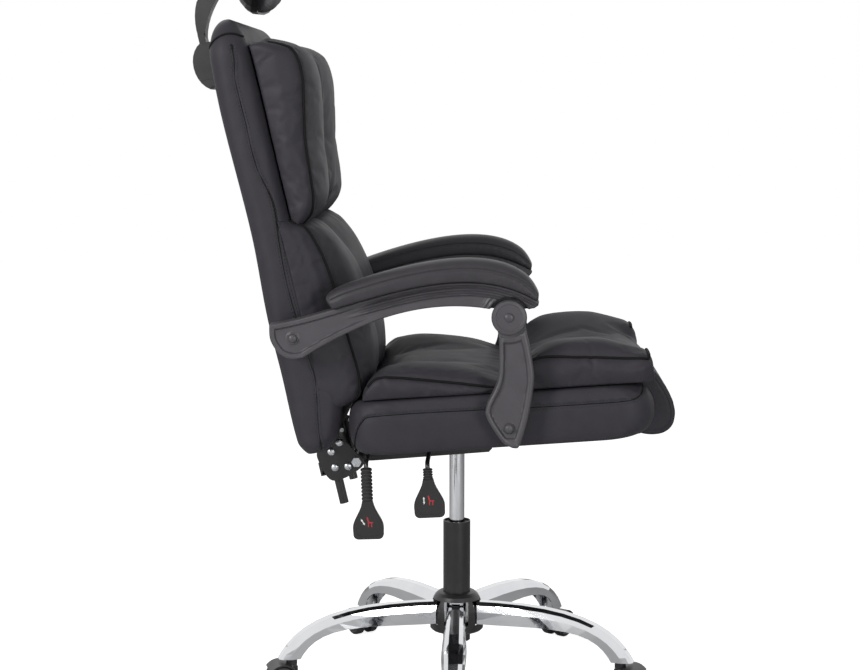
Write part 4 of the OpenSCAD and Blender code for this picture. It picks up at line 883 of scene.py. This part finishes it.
def seat_box():
    turn = np.linspace(0.12, math.pi - 0.1, 34)
    levels = np.concatenate([[0.8, 0.2], SEAT_H * (0.5 - 0.5 * np.cos(turn)), [92, 92.2]])
    inset = np.concatenate([[14, 4], np.zeros(34), [2, 14]])
    rings = []
    for w, d in zip(levels, inset):
        ring = rounded_ring(box_front(w) - d, box_rear(w) + d, box_half(w) - d, BOX_PLAN - min(d, 12), 400)
        rings.append(at_seat(ring[:, 0], ring[:, 1], min(w, 92.1)))
    p = np.array(rings)
    out = normals_of(p)
    u, w = spline(BOX_SEAM, 8).T
    seams = [evenly(at_seat(u, s * box_side(u, w), w), 180) for s in (-1, 1)]
    rise = at_seat(0, 0, 1) - at_seat(0, 0, 0)
    above = ((p - at_seat(0, 0, 67)) @ rise) > 0
    for s, seam in zip((-1, 1), seams):
        p = groove(p, out, seam, 2.4, 2.8)
        near = above * (s * p[:, :, 1] > 100)
        p = pucker(p, out, seam, 1.1, 16, 26, 41 + s, 0.9, near)
    rear = at_seat(np.full(60, box_rear(67.0)), np.linspace(-205, 205, 60), 67.0)
    p = groove(p, out, rear, 2.0, 2.8)
    p = folded(p, out, BOX_FOLDS, at_seat, (1, -1))
    finish_cushion("seat_box_cover", p, "seat", "seat_box")
    double_seam("seat_box", seams, "seat")


DUST_REAR, DUST_FRONT, DUST_HALF, DUST_POINTS = -142, 294, 240, 60


def dust_cloth():
    """Thin cloth stapled under the seat board; the mechanism's plate is bolted over it."""
    m = DUST_POINTS
    x, y = np.linspace(DUST_REAR, DUST_FRONT, m), np.linspace(-DUST_HALF, DUST_HALF, m)
    u, v = np.meshgrid(x, y, indexing="ij")
    sag = 1.25 + 0.25 * wobble(u + 0.6 * v, 71, 34) * wobble(v, 72, 40)
    top, low = at_seat(u, v, 1.75), at_seat(u, v, 1.55 - 0.6 * np.abs(sag - 1.25))
    points = np.concatenate([top.reshape(-1, 3), low.reshape(-1, 3)])
    n = m * m
    faces = grid_faces(m, m) + grid_faces(m, m, first=n)
    rim = [i * m for i in range(m)] + [(m - 1) * m + j for j in range(1, m)]
    rim += [i * m + m - 1 for i in range(m - 2, -1, -1)] + list(range(m - 2, 0, -1))
    faces += [(a, b, b + n, a + n) for a, b in zip(rim, rim[1:] + rim[:1])]
    settle(make("seat_dust_cloth", points, faces, DUST_CLOTH), "seat", "upholstery")


# Back cushion: rings round the back, from its lower edge to the crest

FRONT_FACE = [[34, 12], [60, 32], [130, 54], [250, 44], [330, 38], [460, 37], [720, 37], [790, 34]]
REAR_FACE = [[34, -30], [60, -39], [180, -39], [280, -40], [420, -33], [620, -35], [700, -32], [760, -26],
             [790, -20]]
SIDE_SEAM = [[40, 2], [77, 5], [162, 19], [197, 17], [320, 10], [405, 13.5], [465, 19], [535, 6], [612, 6],
             [680, 6], [712, 12], [735, 14]]
# Heights where the lower edge and the crest begin to round, how far each rounds on, and what it draws in by
LOW_EDGE, LOW_RISE, LOW_DRAW = 60, 24, 7
CREST, CREST_RISE, CREST_DRAW, CREST_SHOULDER = 722, 62, 26, 60
BACK_CORNER = 30
BACK_FOLDS = [
    ([[-30, 250, 300], [-22, 250, 340], [-26, 249, 392]], 0.9, 9),
    ([[-20, 249, 560], [-12, 249, 590], [-4, 249, 604]], 0.8, 7),
    ([[28, 247, 590], [20, 248, 560], [12, 248, 520]], 1.0, 8),
    ([[34, 247, 700], [26, 248, 672], [18, 248, 640]], 1.0, 7),
]


def back_pull(q):
    """How far the sides draw in between the crest and the lower edge."""
    return 5 * np.sin(math.pi * np.clip((np.asarray(q, float) - 60) / 660, 0, 1))


def back_cushion():
    low = LOW_EDGE - LOW_RISE * np.sin(np.linspace(math.pi / 2 - 0.05, 0, 8))
    top = CREST + CREST_RISE * np.sin(np.linspace(0, math.pi / 2 - 0.04, 22))
    rings = []
    for q in np.concatenate([low[:-1], np.arange(LOW_EDGE, CREST - 1, 6.5), top]):
        up, down = max(q - CREST, 0) / CREST_RISE, max(LOW_EDGE - q, 0) / LOW_RISE
        draw = CREST_DRAW * (1 - math.sqrt(1 - up**2)) + LOW_DRAW * (1 - math.sqrt(1 - min(down, 1)**2))
        side = BACK_HALF - CREST_SHOULDER * (1 - math.sqrt(1 - up**2)) - 12 * down**2 - back_pull(q)
        a, b = curve(FRONT_FACE, q) - draw, curve(REAR_FACE, q) + draw
        ring = rounded_ring(a, b, side, min(BACK_CORNER, (a - b) / 2 - 0.1), 208)
        rings.append(at_back(ring[:, 0], ring[:, 1], q))
    p = np.array(rings)
    out = normals_of(p)
    q = np.linspace(42, 738, 220)
    seams = []
    for s in (-1, 1):
        seam = at_back(curve(SIDE_SEAM, q), s * (BACK_HALF - back_pull(q)), q)
        seams.append(seam)
        p = groove(p, out, seam, 2.2, 3.0)
        p = folded(p, out, BACK_FOLDS, at_back, (s,))
        p = pucker(p, out, seam, 0.5, 10, 34, 51 + s, 0.8)
    # The rear panel has a seam of its own a hand's width inside its edge
    ring = rounded_ring(700, 90, 196, 46, 240)
    ring = np.concatenate([ring, ring[:1]])
    panel = at_back(curve(REAR_FACE, ring[:, 0]) - 0.2, ring[:, 1], ring[:, 0])
    p = groove(p, out, panel, 1.8, 3.4)
    finish_cushion("back_cushion_cover", p, "back", "back_cushion")
    rearwards = at_back(-1, 0, 0) - at_back(0, 0, 0)
    double_seam("back", seams, "back", [panel + rearwards * 0.1])
    # The band over the top is sewn to each side with piping
    p_arc = np.linspace(-27, 33, 30)
    q_arc = curve([[-27, 742], [-14, 752], [4, 757], [20, 755], [33, 748]], p_arc)
    up = (q_arc - CREST) / CREST_RISE
    draw = CREST_DRAW * (1 - np.sqrt(1 - up**2))
    side = BACK_HALF - CREST_SHOULDER * (1 - np.sqrt(1 - up**2))
    mid = (curve(FRONT_FACE, q_arc) + curve(REAR_FACE, q_arc)) / 2
    round_r = (curve(FRONT_FACE, q_arc) - curve(REAR_FACE, q_arc)) / 2 - draw
    round_r = np.minimum(round_r, BACK_CORNER)
    y_arc = side - round_r + np.sqrt(np.maximum(round_r**2 - (p_arc - mid)**2, 0))
    piping("back_top_piping", [at_back(p_arc, s * (y_arc + 0.6), q_arc) for s in (-1, 1)], "back", 1.9)


# Pillows on the back: two lobes, a gusset on each side, and piping between them

UPPER_PIPE = [[416, 58], [424, 68], [438, 78], [458, 85], [490, 89], [557, 95], [624, 108], [663, 115],
              [702, 112], [722, 98], [738, 74]]
UPPER_FOLDS = [
    # These three run out from the pinch at the lower end of the groove
    ([[72, 6, 440], [96, 26, 466], [112, 52, 492], [122, 74, 524]], 5.0, 7),
    ([[72, 8, 438], [92, 44, 452], [102, 88, 462]], 3.5, 6),
    ([[74, 5, 446], [98, 14, 486], [108, 20, 530]], 3.0, 6),
    ([[98, 224, 640], [84, 236, 632], [66, 240, 628]], 1.8, 5),
    ([[90, 224, 560], [78, 236, 552], [60, 241, 552]], 1.8, 5),
    ([[84, 224, 470], [72, 234, 476], [56, 238, 492]], 2.0, 5),
    ([[78, 222, 444], [66, 230, 452], [52, 233, 470]], 2.0, 4),
]
UPPER_SWELL = [[416, 2], [440, 7], [460, 12], [476, 13], [547, 14], [600, 15], [690, 12], [722, 10], [738, 8]]
LUMBAR_PIPE = [[100, 80], [110, 85], [154, 91], [222, 88], [305, 85], [357, 79], [392, 70], [415, 61],
               [428, 44], [438, 28]]
LUMBAR_SWELL = [[100, 8], [118, 14], [166, 22], [197, 27], [284, 31], [329, 28], [383, 22], [415, 16],
                [438, 9]]
LUMBAR_FOLDS = [
    ([[44, 240, 428], [47, 246, 396], [50, 247, 360], [54, 248, 320], [56, 249, 270], [55, 249, 230]],
     5.5, 6.0),
    ([[46, 246, 404], [36, 248, 392], [26, 250, 372]], 3.0, 4.0),
    ([[48, 246, 384], [38, 248, 370], [27, 250, 348]], 3.2, 4.0),
    ([[50, 247, 362], [40, 249, 344], [28, 250, 318]], 3.4, 4.5),
    ([[52, 247, 340], [42, 249, 316], [32, 250, 292]], 2.2, 5.0),
    ([[60, 236, 412], [56, 242, 400], [50, 246, 392]], 2.4, 3.5),
    ([[84, 226, 190], [72, 240, 176], [64, 246, 150]], 2.6, 5.0),
    ([[88, 224, 140], [78, 236, 136], [66, 242, 122]], 2.4, 4.5),
    ([[74, 232, 372], [66, 242, 352], [62, 246, 336]], 2.0, 5.0),
    ([[72, 6, 436], [84, 30, 420], [98, 60, 396]], 3.0, 7),
    ([[70, 10, 434], [78, 60, 428], [82, 110, 418]], 2.5, 7),
]
PILLOW_HALF = 222.0


def lobes(v, floor):
    """Share of the swell across the pillow: a groove in the middle and a crest in each half."""
    a = np.abs(v)
    inner = floor + (1 - floor) * (1 - np.clip((0.66 - a) / 0.66, 0, 1)**2.2)
    return np.where(a < 0.66, inner, 1 - np.clip((a - 0.66) / 0.34, 0, 1)**2.4)


def end_round(q, low, high, low_r, high_r):
    """Share of a pillow's depth at q, from 0 at its ends to 1."""
    f = np.ones_like(q)
    f = np.where(q < low + low_r, np.sqrt(np.clip(1 - ((low + low_r - q) / low_r)**2, 0, 1)), f)
    return np.where(q > high - high_r, np.sqrt(np.clip(1 - ((q - high + high_r) / high_r)**2, 0, 1)), f)


def pillow_grid(rows, pipe, swell, floor, share, draw, behind, bulge, over=0.0):
    """Rings: over the front from +Y to -Y, back along a gusset, behind, and forward along the other gusset.

    share is how far each row stands off the back, draw pulls its sides in, and behind gives the place and
    half width of the gusset's rear edge.
    """
    q, f = rows[:, None], share[:, None]
    back_p, back_y = behind(q)
    pipe_p = back_p + (curve(pipe, q) - back_p) * f
    hw = PILLOW_HALF - draw[:, None]
    v = np.linspace(1, -1, 97)
    front_p = pipe_p + curve(swell, q) * f * lobes(v, floor(q))
    rise = over * (lobes(v, 0.55) * (1 - f)**0.6)
    k = np.linspace(0, 1, 15)[1:]
    depth = pipe_p - back_p
    gusset_p = pipe_p - depth * k
    gusset_y = hw + (back_y - draw[:, None] * 0.6 - hw) * k**1.3
    gusset_y = gusset_y + bulge * np.sin(math.pi * k**0.9) * np.clip(f, 0.15, 1)
    behind_v = np.linspace(-1, 1, 9)[1:-1]
    p = np.concatenate([front_p, gusset_p, back_p + 0 * behind_v, gusset_p[:, ::-1]], 1)
    y = np.concatenate([hw * v, -gusset_y, (back_y - 12) * behind_v, gusset_y[:, ::-1]], 1)
    lift = np.zeros_like(y)
    lift[:, :len(v)] = rise * np.where(q > q.mean(), 1, 0)
    return at_back(p, y, q + lift), len(v), len(k)


def pillow_pins(points, n, k):
    """The piping, the rear face and both ends hold a pillow's skin."""
    held = np.zeros(points.shape[:2])
    held[:, [0, n - 1]] = 1
    held[:, n + k - 1:points.shape[1] - k + 1] = 1
    held[[0, 1, -2, -1]] = 1
    return held


def upper_pillow():
    top = 738 - 38 * np.cos(np.linspace(0.1, math.pi / 2 - 0.06, 11))
    rows = np.concatenate([[416.6, 418, 421, 425, 430, 436], np.arange(442, 700, 5.5), top])
    share = end_round(rows, 415, 738.5, 24, 30)
    draw = 14 * (1 - share) ** 1.5 + 10 * smooth(-rows, -450, -415)

    def behind(q):
        return curve(FRONT_FACE, q) + 1.0, 228 - back_pull(q) + 0 * q

    def floor(q):
        return -0.3 + 0.35 * smooth(q, 470, 640)

    points, n, k = pillow_grid(rows, UPPER_PIPE, UPPER_SWELL, floor, share, draw, behind, 13.0, 11.0)
    held = pillow_pins(points, n, k)
    held[:, n // 2] = 1
    puff("upper_pillow", points, held, 8)

    def finish(p):
        out = normals_of(p)
        for side in (0, n - 1):
            strip = beside_piping(p, n, k, side, 10, 2)
            p = pucker(p, out, p[3:-3, side], 1.3, 12, 12, 61 + side, 0.25, strip)
            p = pucker(p, out, p[3:-3, side], 0.5, 22, 37, 63 + side, -0.3, strip)
        middle = p[:, n // 2]
        p = crease(p, out, middle[2:-2], 3.5, 8, 0.5)
        p = pucker(p, out, middle, 0.6, 14, 21, 67, 0.5)
        p = folded(p, out, UPPER_FOLDS, at_back, (-1, 1))
        p, proud = sewn_edges(p, out, slice(1, -1), n)
        finish_cushion("upper_pillow_cover", p, "back", "upper_pillow")
        piping("upper_pillow_piping", [evenly(proud[1:-1, side], 150) for side in (0, n - 1)], "back")

    return finish


def lumbar_pillow():
    rows = np.concatenate([[100.8, 102, 105, 109], np.arange(114, 412, 5.5),
                           [416, 420, 424, 428, 432, 435, 437]])
    share = end_round(rows, 100, 470, 20, 30)
    draw = 12 * (1 - share)**1.5

    def behind(q):
        wrap = smooth(q, 100, 150)
        return 30 - 12 * wrap + 0 * q, 244 + 7.6 * wrap - back_pull(q)

    def floor(q):
        return 0.72 - 0.5 * smooth(q, 330, 430)

    points, n, k = pillow_grid(rows, LUMBAR_PIPE, LUMBAR_SWELL, floor, share, draw, behind, 6.0)
    held = pillow_pins(points, n, k)
    puff("lumbar_pillow", points, held, 8)

    def finish(p):
        out = normals_of(p)
        for side in (0, n - 1):
            strip = beside_piping(p, n, k, side, 10, 1)
            p = pucker(p, out, p[3:-2, side], 1.2, 12, 15, 81 + side, 0.3, strip)
        p = folded(p, out, LUMBAR_FOLDS, at_back, (-1, 1))
        p, proud = sewn_edges(p, out, slice(1, None), n)
        finish_cushion("lumbar_pillow_cover", p, "back", "lumbar_pillow")
        piping("lumbar_pillow_piping", [evenly(proud[1:, side], 150) for side in (0, n - 1)], "back")

    return finish


# The seat pad and both pillows are puffed in one simulation, and then folded and covered; the other soft
# pieces follow

FINISHERS = {"seat_pad": seat_pad(), "upper_pillow": upper_pillow(), "lumbar_pillow": lumbar_pillow()}
settled = simulate()
for soft_name, finisher in FINISHERS.items():
    finisher(settled[soft_name])
front_roll()
seat_box()
dust_cloth()
back_cushion()


# Armrests: moulded skins with ridges and recesses, given in forward and up in the arm's own upright plane

def washer(centre, inner, outer, y0, y1, sides=56):
    """A ring round an axis across the chair, as points and faces."""
    angles = np.arange(sides) * 2 * math.pi / sides
    rows = [[(centre[0] + r * math.cos(a), y, centre[1] + r * math.sin(a)) for a in angles]
            for r, y in ((inner, y0), (outer, y0), (outer, y1), (inner, y1))]
    return np.array(rows), grid_faces(4, sides, wrap_cols=True, wrap_rows=True)


def moulding(top, low, across, outer, inner):
    """Rings from the top edge over the outer face to the lower edge and back over the inner face."""
    plan = top[:, None] + (low - top)[:, None] * across[None, :, None]
    back = np.linspace(1, 0, 9)[1:-1]
    rear = top[:, None] + (low - top)[:, None] * back[None, :, None]
    front = np.stack([plan[..., 0], outer(plan), plan[..., 1]], -1)
    behind = np.stack([rear[..., 0], inner(rear), rear[..., 1]], -1)
    edge_top = np.stack([plan[:, :1, 0], inner(plan[:, :1]), plan[:, :1, 1]], -1)
    edge_low = np.stack([plan[:, -1:, 0], inner(plan[:, -1:]), plan[:, -1:, 1]], -1)
    return np.concatenate([front, edge_low, behind, edge_top], 1)


def edge_round(d, radius=3.0):
    """How far a moulding's face falls back at a distance from its rounded edge."""
    return radius * (1 - np.sqrt(np.clip(1 - (1 - np.clip(d / radius, 0, 1))**2, 0, 1)))


LUG_FACE, POST_BOLT_FACE, POST_CAP_FACE = 276.4, 289.4, 289.6
BORDER_DEPTH, BOLT_BOSS = 4.4, 1.9
ARM_RIDGES = [[0, -0.4], [4, 0], [8, -5.2], [12.5, -0.6], [16.5, -5.6], [21, -0.9], [24.5, -6.6], [80, -6.0]]


def arm_frame_skin():
    """Three ridges that follow the top edge, which run out in a panel with a raised border at the rear."""
    pivot, elbow = ARM_PIVOT, ELBOW
    t = np.linspace(0, 1, 120)
    top = bezier([pivot + (-39, 23), pivot + (81, 38), elbow + (-85, 113), elbow + (49, 27)], t)
    heel = spline([pivot + (-39, 23), pivot + (-37, -3), pivot + (-22, -26), pivot + (-2, -34),
                   pivot + (17, -32)], 10)
    arch = bezier([pivot + (17, -32), pivot + (127, 38), elbow + (-134, 29), elbow + (-34, 14)], t)
    low = np.concatenate([heel, arch[1:], [elbow + (-8, 13), elbow + (30, 12)]])
    top, low = evenly(top, 330), evenly(low, 330)
    low[-6:] += np.array([[1, 2, 4, 6, 9, 11]]).T * np.array([[1.0, 0.35]])
    across = 0.5 - 0.5 * np.cos(np.linspace(0.0, math.pi, 70))

    def outer(plan):
        d_top, run = distance(plan, top)
        d_low, _ = distance(plan, low)
        arched = curve(ARM_RIDGES, d_top)
        border = -BORDER_DEPTH * smooth(np.minimum(d_top, d_low), 7.5, 11.0)
        to_bolt = np.linalg.norm(plan - pivot, axis=-1)
        border = np.maximum(border, -BORDER_DEPTH + BOLT_BOSS * (1 - smooth(to_bolt, 9.5, 11.5)))
        along = smooth(run / 430, 0.27, 0.44)
        y = ARM_OUT + border * (1 - along) + arched * along
        to_elbow = np.linalg.norm(plan - elbow, axis=-1)
        ribs = 2.2 * (0.5 + 0.5 * np.cos((to_elbow - 38) * 2 * math.pi / 6.5))
        ribs = ribs * smooth(-abs(to_elbow - 42), -9, -6)
        y = y + ribs * smooth(d_top, 22, 26) * smooth(elbow[0] - plan[..., 0], 18, 28)
        y = y - edge_round(np.minimum(d_top, d_low))
        return np.minimum(y, LUG_FACE + 24 * smooth(to_elbow, 33.2, 35.6))

    rings = moulding(top, low, across, outer, lambda plan: np.full(plan.shape[:-1], ARM_IN))
    ends = [rings[0].mean(0), rings[-1].mean(0) + [3, 0, -1]]
    return gather([closed_rings(rings, ends), washer(elbow, 8.6, 24, ARM_IN, CAP_IN - 0.5),
                   washer(pivot, 4.3, 15, BACK_HALF - 4.6, ARM_IN + 0.4)])


def arm_post_skin():
    """A raised rim on both edges, with a sunk channel between them from below the elbow to the foot."""
    elbow, foot = ELBOW, POST_FOOT
    left = spline([elbow + (0, 27), elbow + (-19, 19), elbow + (-27, 0), elbow + (-21, -17),
                   elbow + (-17, -40), elbow + (-18, -103), foot + (-37, 40), foot + (-37, 17),
                   foot + (-12, -22), foot + (4, -32), foot + (10, -33)], 12)
    right = spline([elbow + (0, 27), elbow + (19, 19), elbow + (27, 0), elbow + (28, -20),
                    elbow + (36, -56), elbow + (42, -103), foot + (34, 30), foot + (24, -10),
                    foot + (16, -31), foot + (10, -33)], 12)
    left, right = evenly(left, 240), evenly(right, 240)
    across = 0.5 - 0.5 * np.cos(np.linspace(0.0, math.pi, 60))

    def outer(plan):
        d_left, _ = distance(plan, left)
        d_right, _ = distance(plan, right)
        to_elbow = np.linalg.norm(plan - elbow, axis=-1)
        low = plan[..., 1] - foot[1]
        recess = smooth(d_left, 7.0, 10.0) * smooth(d_right, 9.5, 13.0)
        recess = recess * smooth(to_elbow, 41, 46) * smooth(low, -19, -15)
        ridge = np.exp(-((d_left - 4.5) / 2.4)**2) + np.exp(-((d_right - 6.0) / 3.0)**2)
        to_bolt = np.linalg.norm(plan - foot, axis=-1)
        y = POST_OUT - 1.2 + 1.2 * ridge - 4.2 * recess
        y = np.maximum(y, POST_BOLT_FACE - 8 * smooth(to_bolt, 8.5, 10.5))
        y = y - edge_round(np.minimum(d_left, d_right), 3.5)
        return np.minimum(y, POST_CAP_FACE + 3 * smooth(to_elbow, 33, 38))

    def inner(plan):
        return CAP_IN + 0.4 - 13.0 * smooth(np.linalg.norm(plan - elbow, axis=-1), 34.4, 36.4)

    return closed_rings(moulding(left, right, across, outer, inner)[1:-1])


def arm_pad_rings():
    """Rings round the pad, from its rear end to its front, with where each point is across and in height."""
    t = np.concatenate([[0, 0.004, 0.012, 0.022], np.linspace(0.035, 0.965, 96),
                        [0.978, 0.988, 0.996, 1.0]])
    edge = [ARM_PIVOT + (-39, 23), ARM_PIVOT + (81, 38), ELBOW + (-85, 113), ELBOW + (49, 27)]
    crown = [ARM_PIVOT + (48, 76), ARM_PIVOT + (186, 130), ELBOW + (-2, 136), ELBOW + (50, 46)]
    low = bezier(edge, 0.26 + 0.735 * t) + np.array([0, 0.9])
    high = bezier(crown, t)
    end = np.minimum(0.45 + 0.55 * np.sqrt(1 - (1 - np.minimum(t / 0.1, 1))**2),
                     0.5 + 0.5 * np.sqrt(1 - (1 - np.minimum((1 - t) / 0.12, 1))**2))
    top = low + (high - low) * (0.25 + 0.75 * end)[:, None]
    half = 33 * (0.5 + 0.5 * end)
    a = np.linspace(0, math.pi, 45)
    across = np.concatenate([np.sign(np.cos(a)) * np.abs(np.cos(a))**0.7, [-0.995, -0.965, -0.9],
                             np.linspace(-0.7, 0.7, 9), [0.9, 0.965, 0.995]])
    height = np.concatenate([0.3 + 0.7 * np.clip(np.sin(a), 0, 1)**0.62, [0.16, 0.05, 0.0], np.zeros(9),
                             [0, 0.05, 0.16]])
    plan = low[:, None] + (top - low)[:, None] * height[None, :, None]
    y = 286 + half[:, None] * across[None]
    return np.stack([plan[..., 0], y, plan[..., 1]], -1), t, across, height


PAD_SEAM, PAD_SEAM_DEPTH, PAD_SEAM_WIDTH = 0.56, 2.0, 2.2


def arm_pads():
    """Stuffed covers with a seam along both sides, at a share of their height, and gathers below it."""
    for s, side in ((-1, "right"), (1, "left")):
        rings, t, across, height = arm_pad_rings()
        out = normals_of(rings)
        spots = [int(np.argmin(np.abs(height - PAD_SEAM) + 10 * far)) for far in (across < 0, across > 0)]
        lines = [evenly(rings[3:-3, spot], 150) for spot in spots]
        below = (height < PAD_SEAM) * (0.35 + 0.65 * smooth(t, 0.42, 0.62)[:, None])
        rings = pucker(rings, out, lines[0], 1.5, 12, 13, 101, 0.7, below)
        rings = pucker(rings, out, lines[0], 0.9, 10, 8, 103, -0.5, below)
        rings = pucker(rings, out, lines[1], 0.9, 12, 12, 107, 0.5, below)
        for line in lines:
            rings = groove(rings, out, line, PAD_SEAM_DEPTH, PAD_SEAM_WIDTH)
        points = rings if s > 0 else mirrored(rings)
        body = ARM_BODY[side]
        finish_cushion("arm_pad_cover_" + side, points, body, "arm_pad_" + side, PAD_LEATHER, "arm_pad")
        face = np.array([0, 1.0, 0])
        threads = []
        for line, lean in zip(lines, (1, -1)):
            up = np.cross(np.gradient(line, axis=0), face)
            up /= np.linalg.norm(up, axis=1)[:, None]
            up *= np.where(up[:, 2:3] < 0, -1, 1)
            threads.append(line + up * 2.6 + face * lean * 0.1)
        threads = [line if s > 0 else mirrored(line) for line in threads]
        stitches("arm_pad_stitches_" + side, threads, body, "arm_pad", 5.0, 3.6, 0.6)


def arm_mouldings():
    for s, side in ((-1, "right"), (1, "left")):
        for name, (points, faces) in (("arm_frame", arm_frame_skin()), ("arm_post", arm_post_skin())):
            points = points if s > 0 else mirrored(points)
            piece = make(name + "_moulding_" + side, points, faces, ARM_NYLON, 35)
            body = (ARM_BODY if name == "arm_frame" else POST_BODY)[side]
            settle(piece, body, "arm_plastic", name + "_" + side)


# Headrest cushion: an oval roll bowed forward, with piping where its end panels start

HEAD_LONG, HEAD_THICK, HEAD_TALL = 140, 31, 75
HEAD_FORWARD, HEAD_BOW, HEAD_OVER_PIN, END_PANEL = 46, 22, 2, 0.80


def headrest_cover():
    s = np.sin(np.linspace(-1, 1, 75) * math.pi / 2)
    fill = np.maximum((1.001 - np.abs(s)**3.2)**0.45, 0.22)
    a = np.arange(96) * 2 * math.pi / 96
    hp, hq = HEAD_THICK * fill[:, None], HEAD_TALL * (0.25 + 0.75 * fill[:, None])
    y = HEAD_LONG * s[:, None] + 0 * a
    p = HEAD_FORWARD + HEAD_BOW * (y / HEAD_LONG)**2 + hp * np.sign(np.cos(a)) * np.abs(np.cos(a))**0.85
    q = HEAD_PIN[1] + HEAD_OVER_PIN + hq * np.sign(np.sin(a)) * np.abs(np.sin(a))**0.8
    rings = at_back(p, y, q)
    out = normals_of(rings)
    lines = []
    for side in (-1, 1):
        k = int(np.argmin(np.abs(s - side * END_PANEL)))
        line = np.concatenate([rings[k], rings[k][:1]])
        lines.append(line)
        rings = pucker(rings, out, line, 1.0, 12, 12, 120 + side, 0.3)
        rings = crease(rings, out, np.concatenate([line, line[1:3]]), 1.2, 2.2, 0.3)
    rings = crease(rings, out, at_back(p[8:-8, 0], y[8:-8, 0], q[8:-8, 0]), 3.0, 10, 0.4)
    finish_cushion("headrest_cover", rings, "headrest", "headrest_cushion")
    piping("headrest_piping", [line[:-1] for line in lines], "headrest", 2.0, closed=True)


# Signs on the lever paddles: a plain seat in red and a white arrow, printed in the recess of each paddle

SEAT_SIGN = [(-4, 9), (-1.5, 9.5), (0.5, 1), (7, 1), (7, -1.2), (5.5, -1.2), (5.5, -8), (3.8, -8),
             (3.8, -1.2), (0, -1.2), (-0.3, -8), (-2, -8), (-1.8, 0)]
ARROW_SIGN = [(0, 6.5), (-2, 2.5), (-0.8, 2.5), (-0.8, -2.5), (-2, -2.5), (0, -6.5), (2, -2.5),
              (0.8, -2.5), (0.8, 2.5), (2, 2.5)]
PADDLE_TOP_Z, PRINT_BACK, PRINT_FACE = 441, -204.72, -204.95


def sign(name, outline, lever, lean, low, centre, turn, ink, body):
    """A flat print on a paddle's outer face. centre is its middle from the paddle's top, turn its angle."""
    u, v = turned(*np.array(outline, float).T, math.radians(turn))
    x, z = turned(u + centre[0], v + centre[1] + low, -math.radians(lean))
    n = len(x)
    points = [(lever + a, y, PADDLE_TOP_Z + b) for y in (PRINT_FACE, PRINT_BACK) for a, b in zip(x, z)]
    faces = [tuple(range(n)), tuple(range(2 * n - 1, n - 1, -1))]
    faces += [(i, (i + 1) % n, n + (i + 1) % n, n + i) for i in range(n)]
    settle(make(name, points, faces, ink, smooth_faces=False), body, "paddle_plastic")


def paddle_signs():
    for word, lever, lean, low, turn in (("lift", -47, -3, -28.25, 0), ("recline", -153, -2, -67.25, 32)):
        sign(word + "_sign_seat", SEAT_SIGN, lever, lean, low, (1.5, -38), 0, RED_INK, word + "_lever")
        sign(word + "_sign_arrow", ARROW_SIGN, lever, lean, low, (-9, -37), turn, WHITE_INK, word + "_lever")


arm_pads()
arm_mouldings()
headrest_cover()
paddle_signs()
